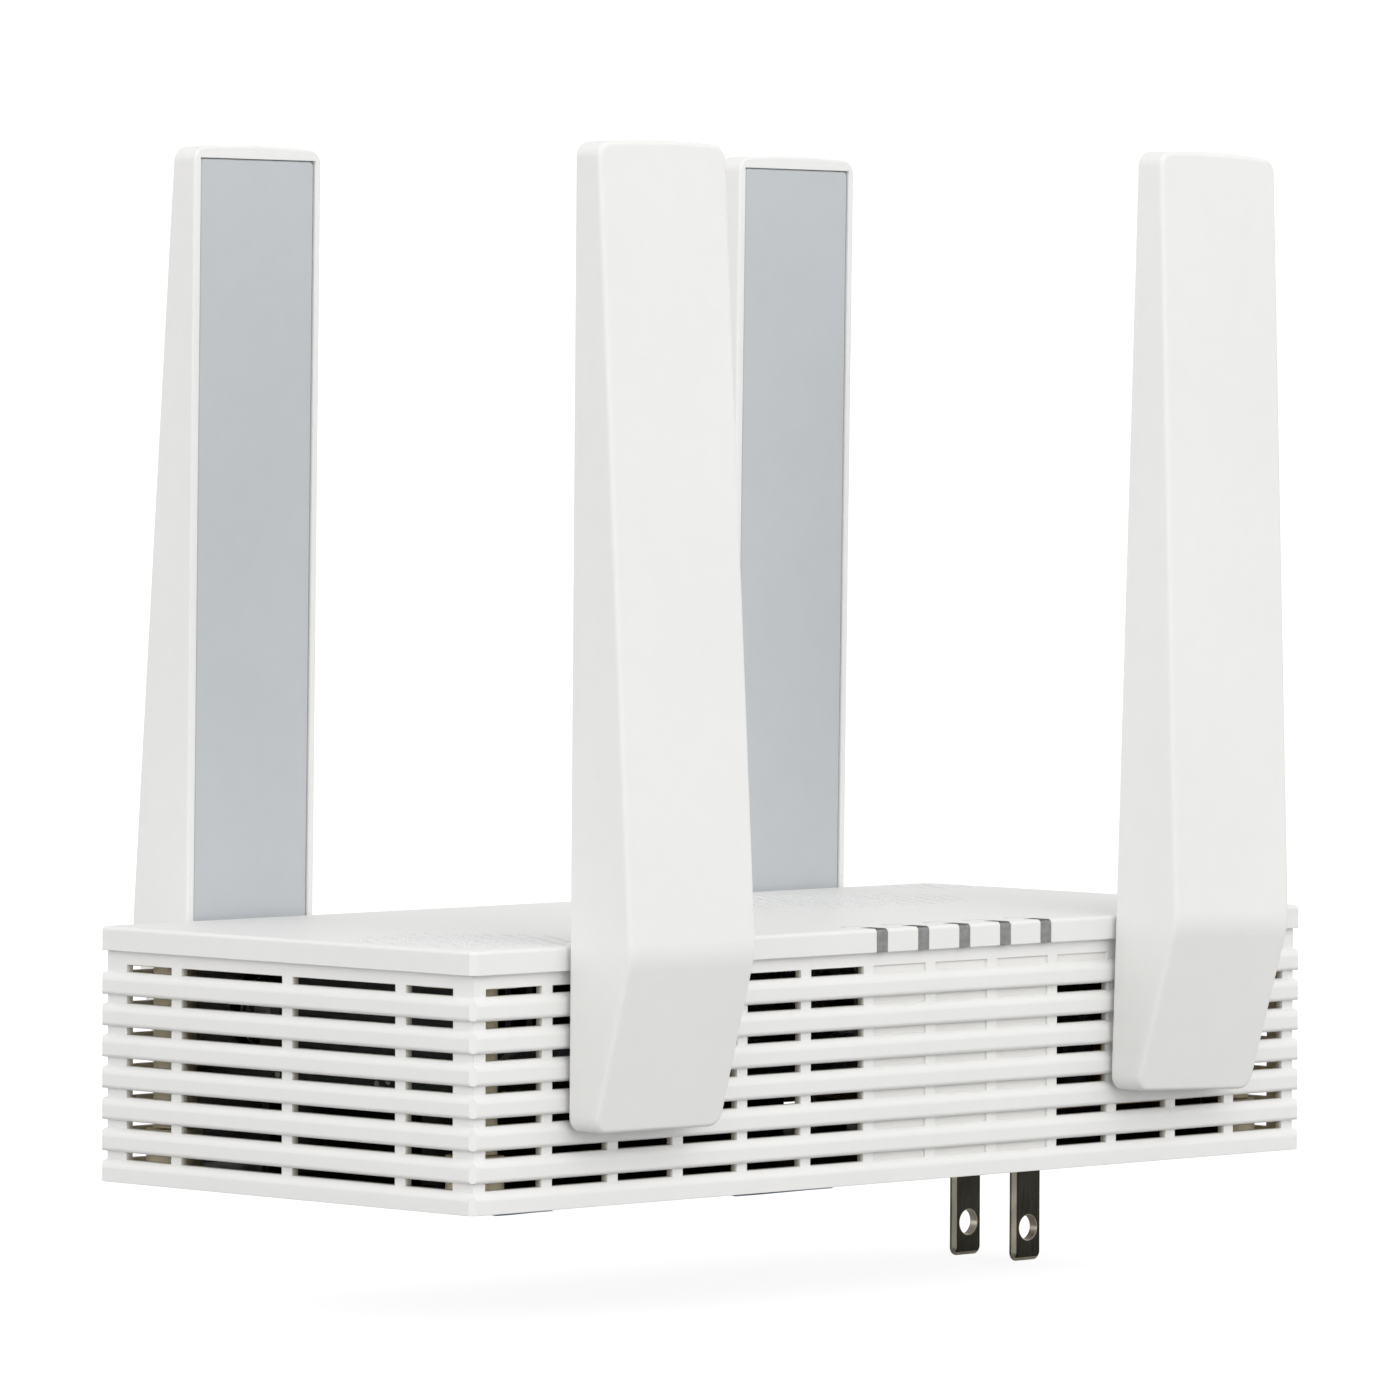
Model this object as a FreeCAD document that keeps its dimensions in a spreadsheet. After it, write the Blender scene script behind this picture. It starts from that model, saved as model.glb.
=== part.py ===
import FreeCAD, Part
import Sketcher
import math
import os

# Wall-plug wireless range extender, lying with its wall side down.
# Frame: origin on the wall face midway between the two plug blades, X along the long side,
# +Y towards the side with the network socket, +Z away from the wall.  Millimetres.

DIMENSIONS = [
    # enclosure
    ("body_length", 175.0), ("body_width", 80.0), ("body_height", 37.5),
    ("plug_to_end", 26.0), ("corner_chamfer", 0.9), ("side_wall", 2.2), ("floor_wall", 2.0),
    ("cover_edge", 3.5), ("cover_skin", 2.0), ("cover_rounding", 0.6),
    ("lip_depth", 2.2), ("lip_wall", 1.2), ("lip_gap", 0.15),
    # grooves round the sides and the vent slots in their floors
    ("groove_depth", 1.0), ("groove_pitch", 4.6), ("groove_count", 7),
    ("slot_height", 1.1), ("lowest_slot_top", 4.4), ("groove_brow", 0.67),
    ("groove_ledge", 0.12), ("shoulder_height", 1.3), ("shoulder_radius", 1.6),
    ("slot_length", 11.0), ("slot_gap", 2.1), ("blind_depth", 0.3),
    ("end_slot_short", 9.8), ("end_slot_long", 21.7), ("end_slot_gap", 2.2),
    # status light guides
    ("guide_width", 2.2), ("guide_pitch", 8.75), ("guide_middle", -48.75),
    ("guide_top_length", 3.6), ("guide_thickness", 2.2), ("guide_play", 0.08),
    # plug
    ("blade_width", 6.35), ("blade_thickness", 1.5), ("blade_spacing", 12.7),
    ("blade_length", 17.8), ("blade_hole", 3.9), ("blade_hole_depth", 12.7),
    ("blade_tip_corner", 1.2), ("blade_tip_bevel", 0.6), ("blade_side_bevel", 0.06),
    ("blade_tail", 2.4), ("carrier_length", 13.0), ("carrier_width", 24.0),
    ("carrier_flange", 2.0), ("carrier_depth", 2.6),
    # antennas
    ("pivot_from_middle", 56.8), ("pivot_height", 23.6),
    ("antenna_width", 25.4), ("antenna_reach", 128.7), ("antenna_tail", 12.6),
    ("antenna_crown", 0.5),
    ("antenna_kink", 12.7), ("antenna_top_thickness", 4.8), ("antenna_kink_thickness", 12.4),
    ("antenna_tail_thickness", 5.4), ("antenna_kink_radius", 10.0), ("antenna_corner", 2.2),
    ("antenna_edge", 0.7), ("antenna_gap", 0.8), ("antenna_wall", 1.4), ("antenna_side_wall", 2.2),
    ("panel_margin", 1.25), ("panel_top_margin", 2.0), ("panel_recess", 1.3),
    ("panel_sunk", 0.15), ("panel_play", 0.1), ("panel_bevel", 0.25),
    ("panel_start", 11.5), ("collar_height", 0.6), ("collar_radius", 6.0),
    ("barrel_radius", 4.0), ("barrel_fit", 0.05), ("barrel_bore", 1.6), ("barrel_end", 8.5),
    ("flange_radius", 6.2), ("flange_thickness", 1.2), ("pivot_pad_radius", 6.7),
    ("pivot_pad_depth", 3.2), ("washer_thickness", 0.4), ("ring_radius", 5.6),
    ("ring_groove_radius", 3.4), ("ring_thickness", 0.8),
    ("lean_front_left", 0.3), ("lean_front_right", 2.0),
    ("lean_back_left", 0.6), ("lean_back_right", 0.7),
    # boards
    ("board_thickness", 1.6), ("main_board_level", 15.2), ("main_board_left", -137.0),
    ("main_board_right", -24.0), ("main_board_front", -37.0), ("main_board_back", 33.0),
    ("supply_board_level", 7.0), ("supply_board_left", -21.0), ("supply_board_right", 20.0),
    ("supply_board_side", 23.0),
    # posts and screws
    ("post_left", -141.0), ("post_right", 18.0), ("post_side", 32.0), ("post_radius", 3.2),
    ("post_bottom", 8.0), ("post_pilot", 1.1), ("screw_radius", 1.4), ("screw_head_radius", 2.6),
    ("screw_head_height", 1.6), ("counterbore_depth", 2.2), ("boss_radius", 4.2),
    ("standoff_radius", 2.6), ("board_screw_radius", 1.1),
    # rib that stiffens the floor
    ("rib_left", -134.0), ("rib_right", -27.0), ("rib_middle", 20.0), ("rib_thickness", 1.6),
    # insulating wall between the supply board and the right-hand vents
    ("barrier_left", 20.6), ("barrier_thickness", 1.2), ("barrier_half", 26.0),
    ("barrier_top", 32.0),
    # network socket and pairing button
    ("jack_middle", -58.0), ("jack_width", 16.0), ("jack_height", 13.5), ("jack_depth", 21.0),
    ("jack_opening_width", 11.8), ("jack_opening_height", 7.0), ("jack_opening_depth", 13.0),
    ("latch_width", 6.0), ("latch_height", 2.4), ("port_play", 0.3),
    ("button_middle", -40.0), ("button_level", 20.4), ("button_radius", 2.9),
    ("button_proud", 0.9), ("button_travel", 0.5), ("button_flange", 4.0),
    ("port_pad_left", -68.5), ("port_pad_right", -31.0), ("port_pad_bottom", 12.6),
    ("port_pad_top", 31.6),
    # labels under the wall face
    ("label_thickness", 0.25), ("label_edge", 0.9), ("label_play", 0.1),
    # heat sink, processor and metal cans on the main board
    ("sink_left", -128.0), ("sink_length", 44.0), ("sink_width", 40.0), ("sink_plate", 2.0),
    ("sink_fin", 1.2), ("sink_fin_height", 10.0), ("sink_fin_count", 11),
    ("processor_left", -114.0), ("processor_side", 16.0), ("processor_height", 1.4),
    ("thermal_pad_height", 0.8), ("can_wall", 0.2), ("can_height", 3.0),
    # transformer on the supply board
    ("core_left", -19.0), ("core_front", 2.0), ("core_length", 15.0), ("core_width", 14.0),
    ("core_height", 14.0), ("core_leg", 2.0), ("core_yoke", 2.5), ("winding_play", 0.1),
]

doc = FreeCAD.newDocument("range_extender")
sheet = doc.addObject("Spreadsheet::Sheet", "dim")
for row, (alias, number) in enumerate(DIMENSIONS, start=1):
    sheet.set(f"A{row}", alias)
    sheet.set(f"B{row}", str(number))
    sheet.setAlias(f"B{row}", alias)
doc.recompute()

LEFT = "(dim.plug_to_end - dim.body_length)"
RIGHT = "dim.plug_to_end"
SIDE = "(dim.body_width / 2)"
MIDDLE = "(dim.plug_to_end - dim.body_length / 2)"
WALL_TOP = "(dim.body_height - dim.cover_edge)"
MAIN_TOP = "(dim.main_board_level + dim.board_thickness)"
SUPPLY_TOP = "(dim.supply_board_level + dim.board_thickness)"
SUBPARTS = []


def value(expression):
    """Number that an expression over the sheet's cells gives."""
    result = sheet.evalExpression(str(expression))
    return float(getattr(result, "Value", result))


def place(subpart, x="0", y="0", z="0"):
    """Bind a sub-part's position to expressions."""
    for axis, expression in zip("xyz", (x, y, z)):
        subpart.setExpression(f"Placement.Base.{axis}", str(expression))


def keep(subpart, label):
    """Name a finished sub-part and add it to the list that is written."""
    subpart.Label = label
    SUBPARTS.append(subpart)
    return subpart


# ---------------------------------------------------------------- sketches and features

def new_body(name):
    return doc.addObject("PartDesign::Body", name)


def origin_part(body, role):
    return next(item for item in body.Origin.OriginFeatures if item.Role == role)


def new_sketch(body, name, role, offset="0"):
    """Sketch on one of the body's own origin planes, moved along the plane's normal."""
    sketch = body.newObject("Sketcher::SketchObject", name)
    sketch.AttachmentSupport = [(origin_part(body, role), "")]
    sketch.MapMode = "FlatFace"
    sketch.setExpression("AttachmentOffset.Base.z", str(offset))
    return sketch


def pin_point(sketch, edge, end, x, y):
    """Fix an edge's end at two expressions, measured from the sketch's origin."""
    for kind, expression in (("DistanceX", x), ("DistanceY", y)):
        index = sketch.addConstraint(
            Sketcher.Constraint(kind, -1, 1, edge, end, value(expression)))
        sketch.setExpression(f"Constraints[{index}]", str(expression))


def arc_between(start, end, radius):
    """Arc from start to end; a positive radius has its centre on the left of that direction."""
    chord = end - start
    half = chord.Length / 2
    rise = math.sqrt(max(radius * radius - half * half, 0.0))
    normal = FreeCAD.Vector(-chord.y, chord.x, 0).normalize()
    side = 1.0 if radius > 0 else -1.0
    centre = (start + end) * 0.5 + normal * rise * side
    middle = centre + (((start + end) * 0.5) - centre).normalize() * abs(radius)
    return Part.Arc(start, middle, end)


def draw_outline(sketch, corners):
    """Closed outline through corners (x, y) or (x, y, radius of the arc that starts there)."""
    points = [FreeCAD.Vector(value(corner[0]), value(corner[1]), 0) for corner in corners]
    edges = []
    for index, corner in enumerate(corners):
        start = points[index]
        end = points[(index + 1) % len(points)]
        if len(corner) == 2:
            edges.append(sketch.addGeometry(Part.LineSegment(start, end), False))
            continue
        edges.append(sketch.addGeometry(arc_between(start, end, value(corner[2])), False))
    ends = []
    for index, corner in enumerate(corners):
        reverse = len(corner) == 3 and value(corner[2]) < 0
        ends.append((2, 1) if reverse else (1, 2))
    for index, edge in enumerate(edges):
        following = (index + 1) % len(edges)
        sketch.addConstraint(Sketcher.Constraint(
            "Coincident", edge, ends[index][1], edges[following], ends[following][0]))
    for index, corner in enumerate(corners):
        pin_point(sketch, edges[index], ends[index][0], corner[0], corner[1])
        if len(corner) == 3:
            radius = sketch.addConstraint(
                Sketcher.Constraint("Radius", edges[index], abs(value(corner[2]))))
            sketch.setExpression(f"Constraints[{radius}]", f"abs({corner[2]})")


def draw_rectangle(sketch, left, bottom, right, top):
    draw_outline(sketch, [(left, bottom), (right, bottom), (right, top), (left, top)])


def draw_circle(sketch, x, y, radius):
    centre = FreeCAD.Vector(value(x), value(y), 0)
    circle = sketch.addGeometry(
        Part.Circle(centre, FreeCAD.Vector(0, 0, 1), value(radius)), False)
    pin_point(sketch, circle, 3, x, y)
    index = sketch.addConstraint(Sketcher.Constraint("Radius", circle, value(radius)))
    sketch.setExpression(f"Constraints[{index}]", str(radius))


def feature(body, kind, sketch, length, both_ways=False, backwards=False):
    """Pad or pocket of a sketch.  It must change the body's volume."""
    before = body.Shape.Volume if body.Tip else 0.0
    item = body.newObject(f"PartDesign::{kind}", f"{sketch.Name}_{kind}")
    item.Profile = sketch
    item.setExpression("Length", str(length))
    item.Midplane = both_ways
    item.Reversed = backwards
    sketch.Visibility = False
    doc.recompute()
    if abs(body.Shape.Volume - before) < 1e-3:
        raise RuntimeError(f"{item.Name} changes nothing")
    return item


def pad(body, sketch, length, both_ways=False, backwards=False):
    return feature(body, "Pad", sketch, length, both_ways, backwards)


def pocket(body, sketch, length, both_ways=False, backwards=False):
    return feature(body, "Pocket", sketch, length, both_ways, backwards)


def repeat(body, originals, role, count, pitch):
    """Linear pattern of features along one of the body's axes."""
    pattern = body.newObject("PartDesign::LinearPattern", f"{originals[0].Name}_rows")
    pattern.Originals = originals
    pattern.Direction = (origin_part(body, role), [""])
    pattern.setExpression("Length", f"({count} - 1) * {pitch}")
    pattern.setExpression("Occurrences", str(count))
    body.Tip = pattern
    doc.recompute()
    return pattern


def edge_names(shape, wanted):
    """Names of the edges for which wanted(edge) holds."""
    return [f"Edge{index}" for index, edge in enumerate(shape.Edges, start=1) if wanted(edge)]


def soften(body, kind, size, wanted):
    """Fillet or chamfer of the chosen edges of the body's present shape."""
    base = body.Tip
    item = body.newObject(f"PartDesign::{kind}", f"{base.Name}_{kind}")
    item.Base = (base, edge_names(base.Shape, wanted))
    item.setExpression("Radius" if kind == "Fillet" else "Size", str(size))
    doc.recompute()
    return item


def runs_along(edge, axis):
    """True for a straight edge parallel to the unit vector axis."""
    if not isinstance(edge.Curve, Part.Line):
        return False
    return abs(edge.Curve.Direction.dot(axis)) > 0.999


X_DIRECTION = FreeCAD.Vector(1, 0, 0)
Y_DIRECTION = FreeCAD.Vector(0, 1, 0)
Z_DIRECTION = FreeCAD.Vector(0, 0, 1)


# ---------------------------------------------------------------- primitives

def box(name, size, corner):
    """Part box with its size and lowest corner bound to expressions."""
    item = doc.addObject("Part::Box", name)
    for side, expression in zip(("Length", "Width", "Height"), size):
        item.setExpression(side, str(expression))
    place(item, *corner)
    return item


def cylinder(name, radius, height, base, direction=Z_DIRECTION):
    """Part cylinder from its base point along a direction."""
    item = doc.addObject("Part::Cylinder", name)
    item.setExpression("Radius", str(radius))
    item.setExpression("Height", str(height))
    item.Placement.Rotation = FreeCAD.Rotation(Z_DIRECTION, direction)
    place(item, *base)
    return item


def fuse(name, pieces):
    item = doc.addObject("Part::MultiFuse", name)
    item.Shapes = pieces
    return item


def cut(name, base, tool):
    item = doc.addObject("Part::Cut", name)
    item.Base = base
    item.Tool = tool
    return item


def group(name, pieces):
    """Compound of separate identical solids that share one node."""
    item = doc.addObject("Part::Compound", name)
    item.Links = pieces
    return item


# ---------------------------------------------------------------- enclosure

def base_shell():
    """Wall-side tray: floor, ribbed and slotted side walls, bosses and the port pad."""
    body = new_body("base_shell_body")
    outline = new_sketch(body, "shell_outline", "XY_Plane")
    draw_rectangle(outline, LEFT, f"-{SIDE}", RIGHT, SIDE)
    pad(body, outline, WALL_TOP)
    soften(body, "Chamfer", "dim.corner_chamfer", lambda edge: runs_along(edge, Z_DIRECTION))

    cavity = new_sketch(body, "shell_cavity", "XY_Plane", WALL_TOP)
    draw_rectangle(cavity, f"{LEFT} + dim.side_wall", f"-{SIDE} + dim.side_wall",
                   f"{RIGHT} - dim.side_wall", f"{SIDE} - dim.side_wall")
    pocket(body, cavity, f"{WALL_TOP} - dim.floor_wall")

    add_floor_details(body)
    cut_wall_openings(body)
    cut_cover_seat(body)
    cut_grooves(body)
    cut_slots(body)
    add_pads(body)
    return keep(body, "base_shell")


def groove_section(outer, inward):
    """Groove profile (u, z) from the outer plane: brow, ledge, floor and curved shoulder."""
    slot_bottom = "(dim.lowest_slot_top - dim.slot_height)"
    beyond = f"{outer} - {inward} * 0.6"
    floor = f"{outer} + {inward} * dim.groove_depth"
    brow = "(dim.lowest_slot_top + dim.groove_brow)"
    ledge = "(dim.lowest_slot_top + dim.groove_ledge)"
    shoulder = f"({slot_bottom} - dim.shoulder_height)"
    turn = "" if inward > 0 else "-"
    return [
        (beyond, brow),
        (outer, brow, f"{turn}(dim.groove_brow - dim.groove_ledge)"),
        (f"{outer} + {inward} * (dim.groove_brow - dim.groove_ledge)", ledge),
        (floor, ledge),
        (floor, slot_bottom, f"{turn}dim.shoulder_radius"),
        (outer, shoulder),
        (beyond, shoulder),
    ]


def cut_grooves(body):
    """Seven level grooves round all four sides."""
    along = new_sketch(body, "groove_section_long", "YZ_Plane")
    draw_outline(along, groove_section(f"(-{SIDE})", 1))
    draw_outline(along, groove_section(SIDE, -1))
    long_grooves = pocket(body, along, "2 * dim.body_length + 4", both_ways=True)
    across = new_sketch(body, "groove_section_short", "XZ_Plane")
    draw_outline(across, groove_section(LEFT, 1))
    draw_outline(across, groove_section(RIGHT, -1))
    short_grooves = pocket(body, across, "dim.body_width + 4", both_ways=True)
    repeat(body, [long_grooves, short_grooves], "Z_Axis", "dim.groove_count", "dim.groove_pitch")


SLOTS_LONG = 13
BLIND_SLOTS = (6, 7, 8)
SHORT_COLUMN = 9


def slot_left(index):
    """Expression for the left end of a slot on the long sides."""
    pitch = "(dim.slot_length + dim.slot_gap)"
    span = f"({SLOTS_LONG} * dim.slot_length + {SLOTS_LONG - 1} * dim.slot_gap)"
    return f"{MIDDLE} - {span} / 2 + {index} * {pitch}"


def long_slot_spans(chosen):
    """Start and length expressions of some of the slots along a long side."""
    return [(slot_left(index), "dim.slot_length") for index in range(SLOTS_LONG) if chosen(index)]


def end_slot_spans():
    """Start and length expressions of the four slots across a short side."""
    lengths = ["dim.end_slot_short", "dim.end_slot_long", "dim.end_slot_long", "dim.end_slot_short"]
    start = "(-dim.end_slot_short - dim.end_slot_long - 1.5 * dim.end_slot_gap)"
    spans = []
    for length in lengths:
        spans.append((start, length))
        start = f"({start} + {length} + dim.end_slot_gap)"
    return spans


def cut_slots(body):
    """Vent slots through the groove floors, and blind ones before the status lights."""
    every = "dim.groove_count"
    through = "dim.side_wall + 0.4"
    blind = "dim.groove_depth + dim.blind_depth"
    column = long_slot_spans(lambda index: index == SHORT_COLUMN)
    front = long_slot_spans(lambda index: index not in BLIND_SLOTS and index != SHORT_COLUMN)
    back = long_slot_spans(lambda index: index not in BLIND_SLOTS)
    shut = long_slot_spans(lambda index: index in BLIND_SLOTS)
    walls = [
        ("front_slots", "XZ_Plane", SIDE, front, through, False, "0", every),
        ("front_short_column", "XZ_Plane", SIDE, column, through, False, "0", f"{every} - 1"),
        ("back_slots", "XZ_Plane", f"-{SIDE}", back, through, True, "0", every),
        ("left_slots", "YZ_Plane", LEFT, end_slot_spans(), through, True, "0", every),
        ("right_slots", "YZ_Plane", RIGHT, end_slot_spans(), through, False, "0", every),
        ("blind_slots", "XZ_Plane", SIDE, shut, blind, False, "0", every),
        ("blind_top_slot", "XZ_Plane", SIDE, column, blind, False, f"{every} - 1", "1"),
    ]
    for name, plane, offset, spans, depth, backwards, first_row, rows in walls:
        lift = f"({first_row}) * dim.groove_pitch"
        sketch = new_sketch(body, name, plane, offset)
        for start, length in spans:
            draw_rectangle(sketch, start, f"dim.lowest_slot_top - dim.slot_height + {lift}",
                           f"{start} + {length}", f"dim.lowest_slot_top + {lift}")
        row = pocket(body, sketch, depth, backwards=backwards)
        if rows != "1":
            repeat(body, [row], "Z_Axis", f"({rows})", "dim.groove_pitch")


def cut_cover_seat(body):
    """The top of the wall steps back to the groove floor, under the cover's edge."""
    seat = new_sketch(body, "cover_seat", "XY_Plane", WALL_TOP)
    edge = "dim.groove_depth"
    draw_rectangle(seat, f"{LEFT} - 2", f"-{SIDE} - 2", f"{RIGHT} + 2", f"{SIDE} + 2")
    draw_rectangle(seat, f"{LEFT} + {edge}", f"-{SIDE} + {edge}",
                   f"{RIGHT} - {edge}", f"{SIDE} - {edge}")
    last_top = "(dim.lowest_slot_top + (dim.groove_count - 1) * dim.groove_pitch)"
    pocket(body, seat, f"{WALL_TOP} - {last_top} - dim.groove_ledge")


def pivot_places():
    return [f"({MIDDLE} - dim.pivot_from_middle)", f"({MIDDLE} + dim.pivot_from_middle)"]


def draw_port_openings(sketch):
    """Outlines of the network socket's opening and the button's hole."""
    half = "(dim.jack_width / 2 + dim.port_play)"
    draw_rectangle(sketch, f"dim.jack_middle - {half}", f"{MAIN_TOP} - dim.port_play",
                   f"dim.jack_middle + {half}", f"{MAIN_TOP} + dim.jack_height + dim.port_play")
    draw_circle(sketch, "dim.button_middle", "dim.button_level",
                "dim.button_radius + dim.port_play")


def cut_wall_openings(body):
    """Pivot holes through both long walls, and the port openings through the back one."""
    holes = new_sketch(body, "pivot_holes", "XZ_Plane")
    for centre in pivot_places():
        draw_circle(holes, centre, "dim.pivot_height", "dim.barrel_radius + dim.barrel_fit")
    pocket(body, holes, "dim.body_width + 4", both_ways=True)
    openings = new_sketch(body, "port_openings", "XZ_Plane", f"-{SIDE}")
    draw_port_openings(openings)
    pocket(body, openings, "dim.side_wall + 1", backwards=True)


def add_pads(body):
    """Flat pads that fill the grooves round each pivot hole and round the port openings."""
    for name, offset, backwards in (("front", SIDE, True), ("back", f"-{SIDE}", False)):
        pads = new_sketch(body, f"pivot_pads_{name}", "XZ_Plane", offset)
        for centre in pivot_places():
            draw_circle(pads, centre, "dim.pivot_height", "dim.pivot_pad_radius")
            draw_circle(pads, centre, "dim.pivot_height", "dim.barrel_radius + dim.barrel_fit")
        pad(body, pads, "dim.pivot_pad_depth", backwards=backwards)
    panel = new_sketch(body, "port_pad", "XZ_Plane", f"-{SIDE}")
    draw_rectangle(panel, "dim.port_pad_left", "dim.port_pad_bottom",
                   "dim.port_pad_right", "dim.port_pad_top")
    draw_port_openings(panel)
    pad(body, panel, "dim.side_wall")


def corner_posts():
    return [(x, y) for x in ("dim.post_left", "dim.post_right")
            for y in ("-dim.post_side", "dim.post_side")]


def main_standoffs():
    left = "dim.main_board_left + 6"
    right = "dim.main_board_right - 6"
    return [(left, "-14"), (left, "14"), (right, "-30"), (right, "28")]


def supply_standoffs():
    left = "dim.supply_board_left + 4"
    right = "dim.supply_board_right - 4"
    return [(left, "dim.supply_board_side - 4"), (right, "-dim.supply_board_side + 4")]


LABELS = {
    # name: distance from the left end, width and depth
    "serial_label": ("5.3", "11.4", "28"),
    "rating_label": ("53.3", "20.3", "46"),
}


def add_floor_details(body):
    """Label recesses, bosses, standoffs, the rib, the mains barrier and the plug's opening."""
    recesses = new_sketch(body, "label_recesses", "XY_Plane")
    for left, width, depth in LABELS.values():
        draw_rectangle(recesses, f"{LEFT} + {left} - dim.label_play",
                       f"-{SIDE} + dim.label_edge - dim.label_play",
                       f"{LEFT} + {left} + {width} + dim.label_play",
                       f"-{SIDE} + dim.label_edge + {depth} + dim.label_play")
    pocket(body, recesses, "dim.label_thickness", backwards=True)
    root = "dim.floor_wall - 0.5"
    bosses = new_sketch(body, "cover_screw_bosses", "XY_Plane", root)
    for x, y in corner_posts():
        draw_circle(bosses, x, y, "dim.boss_radius")
    pad(body, bosses, f"dim.post_bottom - 0.2 - ({root})")
    for name, spots, level in (("main", main_standoffs(), "dim.main_board_level"),
                               ("supply", supply_standoffs(), "dim.supply_board_level")):
        standoffs = new_sketch(body, f"{name}_standoffs", "XY_Plane", root)
        for x, y in spots:
            draw_circle(standoffs, x, y, "dim.standoff_radius")
        pad(body, standoffs, f"{level} - ({root})")
        pilots = new_sketch(body, f"{name}_standoff_pilots", "XY_Plane", level)
        for x, y in spots:
            draw_circle(pilots, x, y, "dim.board_screw_radius")
        pocket(body, pilots, "4.5")
    holes = new_sketch(body, "cover_screw_holes", "XY_Plane")
    heads = new_sketch(body, "cover_screw_counterbores", "XY_Plane")
    for x, y in corner_posts():
        draw_circle(holes, x, y, "dim.screw_radius")
        draw_circle(heads, x, y, "dim.screw_head_radius + 0.2")
    pocket(body, holes, "dim.post_bottom + 1", backwards=True)
    pocket(body, heads, "dim.counterbore_depth", backwards=True)
    rib = new_sketch(body, "floor_rib", "XY_Plane", root)
    draw_rectangle(rib, "dim.rib_left", "dim.rib_middle - dim.rib_thickness / 2",
                   "dim.rib_right", "dim.rib_middle + dim.rib_thickness / 2")
    pad(body, rib, f"dim.main_board_level - 0.4 - ({root})")
    barrier = new_sketch(body, "mains_barrier", "XY_Plane", root)
    draw_rectangle(barrier, "dim.barrier_left", "-dim.barrier_half",
                   "dim.barrier_left + dim.barrier_thickness", "dim.barrier_half")
    pad(body, barrier, f"dim.barrier_top - ({root})")
    opening = new_sketch(body, "plug_opening", "XY_Plane")
    draw_rectangle(opening, "-dim.carrier_length / 2", "-dim.carrier_width / 2",
                   "dim.carrier_length / 2", "dim.carrier_width / 2")
    pocket(body, opening, "dim.floor_wall + 1", backwards=True)


def guide_left(index):
    return f"(dim.guide_middle + ({index} - 2) * dim.guide_pitch - dim.guide_width / 2)"


def top_cover():
    """Flat cover with a rounded rim, a locating lip, four posts and the light guide notches."""
    body = new_body("top_cover_body")
    outline = new_sketch(body, "cover_outline", "XY_Plane", WALL_TOP)
    draw_rectangle(outline, LEFT, f"-{SIDE}", RIGHT, SIDE)
    pad(body, outline, "dim.cover_edge")
    soften(body, "Chamfer", "dim.corner_chamfer", lambda edge: runs_along(edge, Z_DIRECTION))
    top = value("dim.body_height")
    soften(body, "Fillet", "dim.cover_rounding",
           lambda edge: all(abs(vertex.Z - top) < 1e-6 for vertex in edge.Vertexes))

    inset = "(dim.side_wall + dim.lip_gap + dim.lip_wall)"
    hollow = new_sketch(body, "cover_hollow", "XY_Plane", WALL_TOP)
    draw_rectangle(hollow, f"{LEFT} + {inset}", f"-{SIDE} + {inset}",
                   f"{RIGHT} - {inset}", f"{SIDE} - {inset}")
    pocket(body, hollow, "dim.cover_edge - dim.cover_skin", backwards=True)
    lip = new_sketch(body, "cover_lip", "XY_Plane", WALL_TOP)
    gap = "(dim.side_wall + dim.lip_gap)"
    for edge in (gap, inset):
        draw_rectangle(lip, f"{LEFT} + {edge}", f"-{SIDE} + {edge}",
                       f"{RIGHT} - {edge}", f"{SIDE} - {edge}")
    pad(body, lip, "dim.lip_depth", backwards=True)

    posts = new_sketch(body, "cover_posts", "XY_Plane", "dim.post_bottom")
    pilots = new_sketch(body, "cover_post_pilots", "XY_Plane", "dim.post_bottom")
    for x, y in corner_posts():
        draw_circle(posts, x, y, "dim.post_radius")
        draw_circle(pilots, x, y, "dim.post_pilot")
    pad(body, posts, "dim.body_height - 1 - dim.post_bottom")
    pocket(body, pilots, "12", backwards=True)

    notches = new_sketch(body, "guide_notches", "XY_Plane", "dim.body_height + 1")
    for index in range(5):
        left = guide_left(index)
        draw_rectangle(notches, f"{left} - dim.guide_play", f"-{SIDE} - 1",
                       f"{left} + dim.guide_width + dim.guide_play",
                       f"-{SIDE} + dim.guide_top_length + dim.guide_play")
    pocket(body, notches, "dim.cover_edge + dim.lip_depth + 2")
    slot = new_sketch(body, "guide_stem_clearance", "XY_Plane", f"{WALL_TOP} + 1.5")
    draw_rectangle(slot, f"{guide_left(0)} - 1", f"-{SIDE} + {gap}",
                   f"{guide_left(4)} + dim.guide_width + 1", f"-{SIDE} + {inset} + 0.5")
    pocket(body, slot, "dim.lip_depth + 2.5")
    return keep(body, "top_cover")


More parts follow.
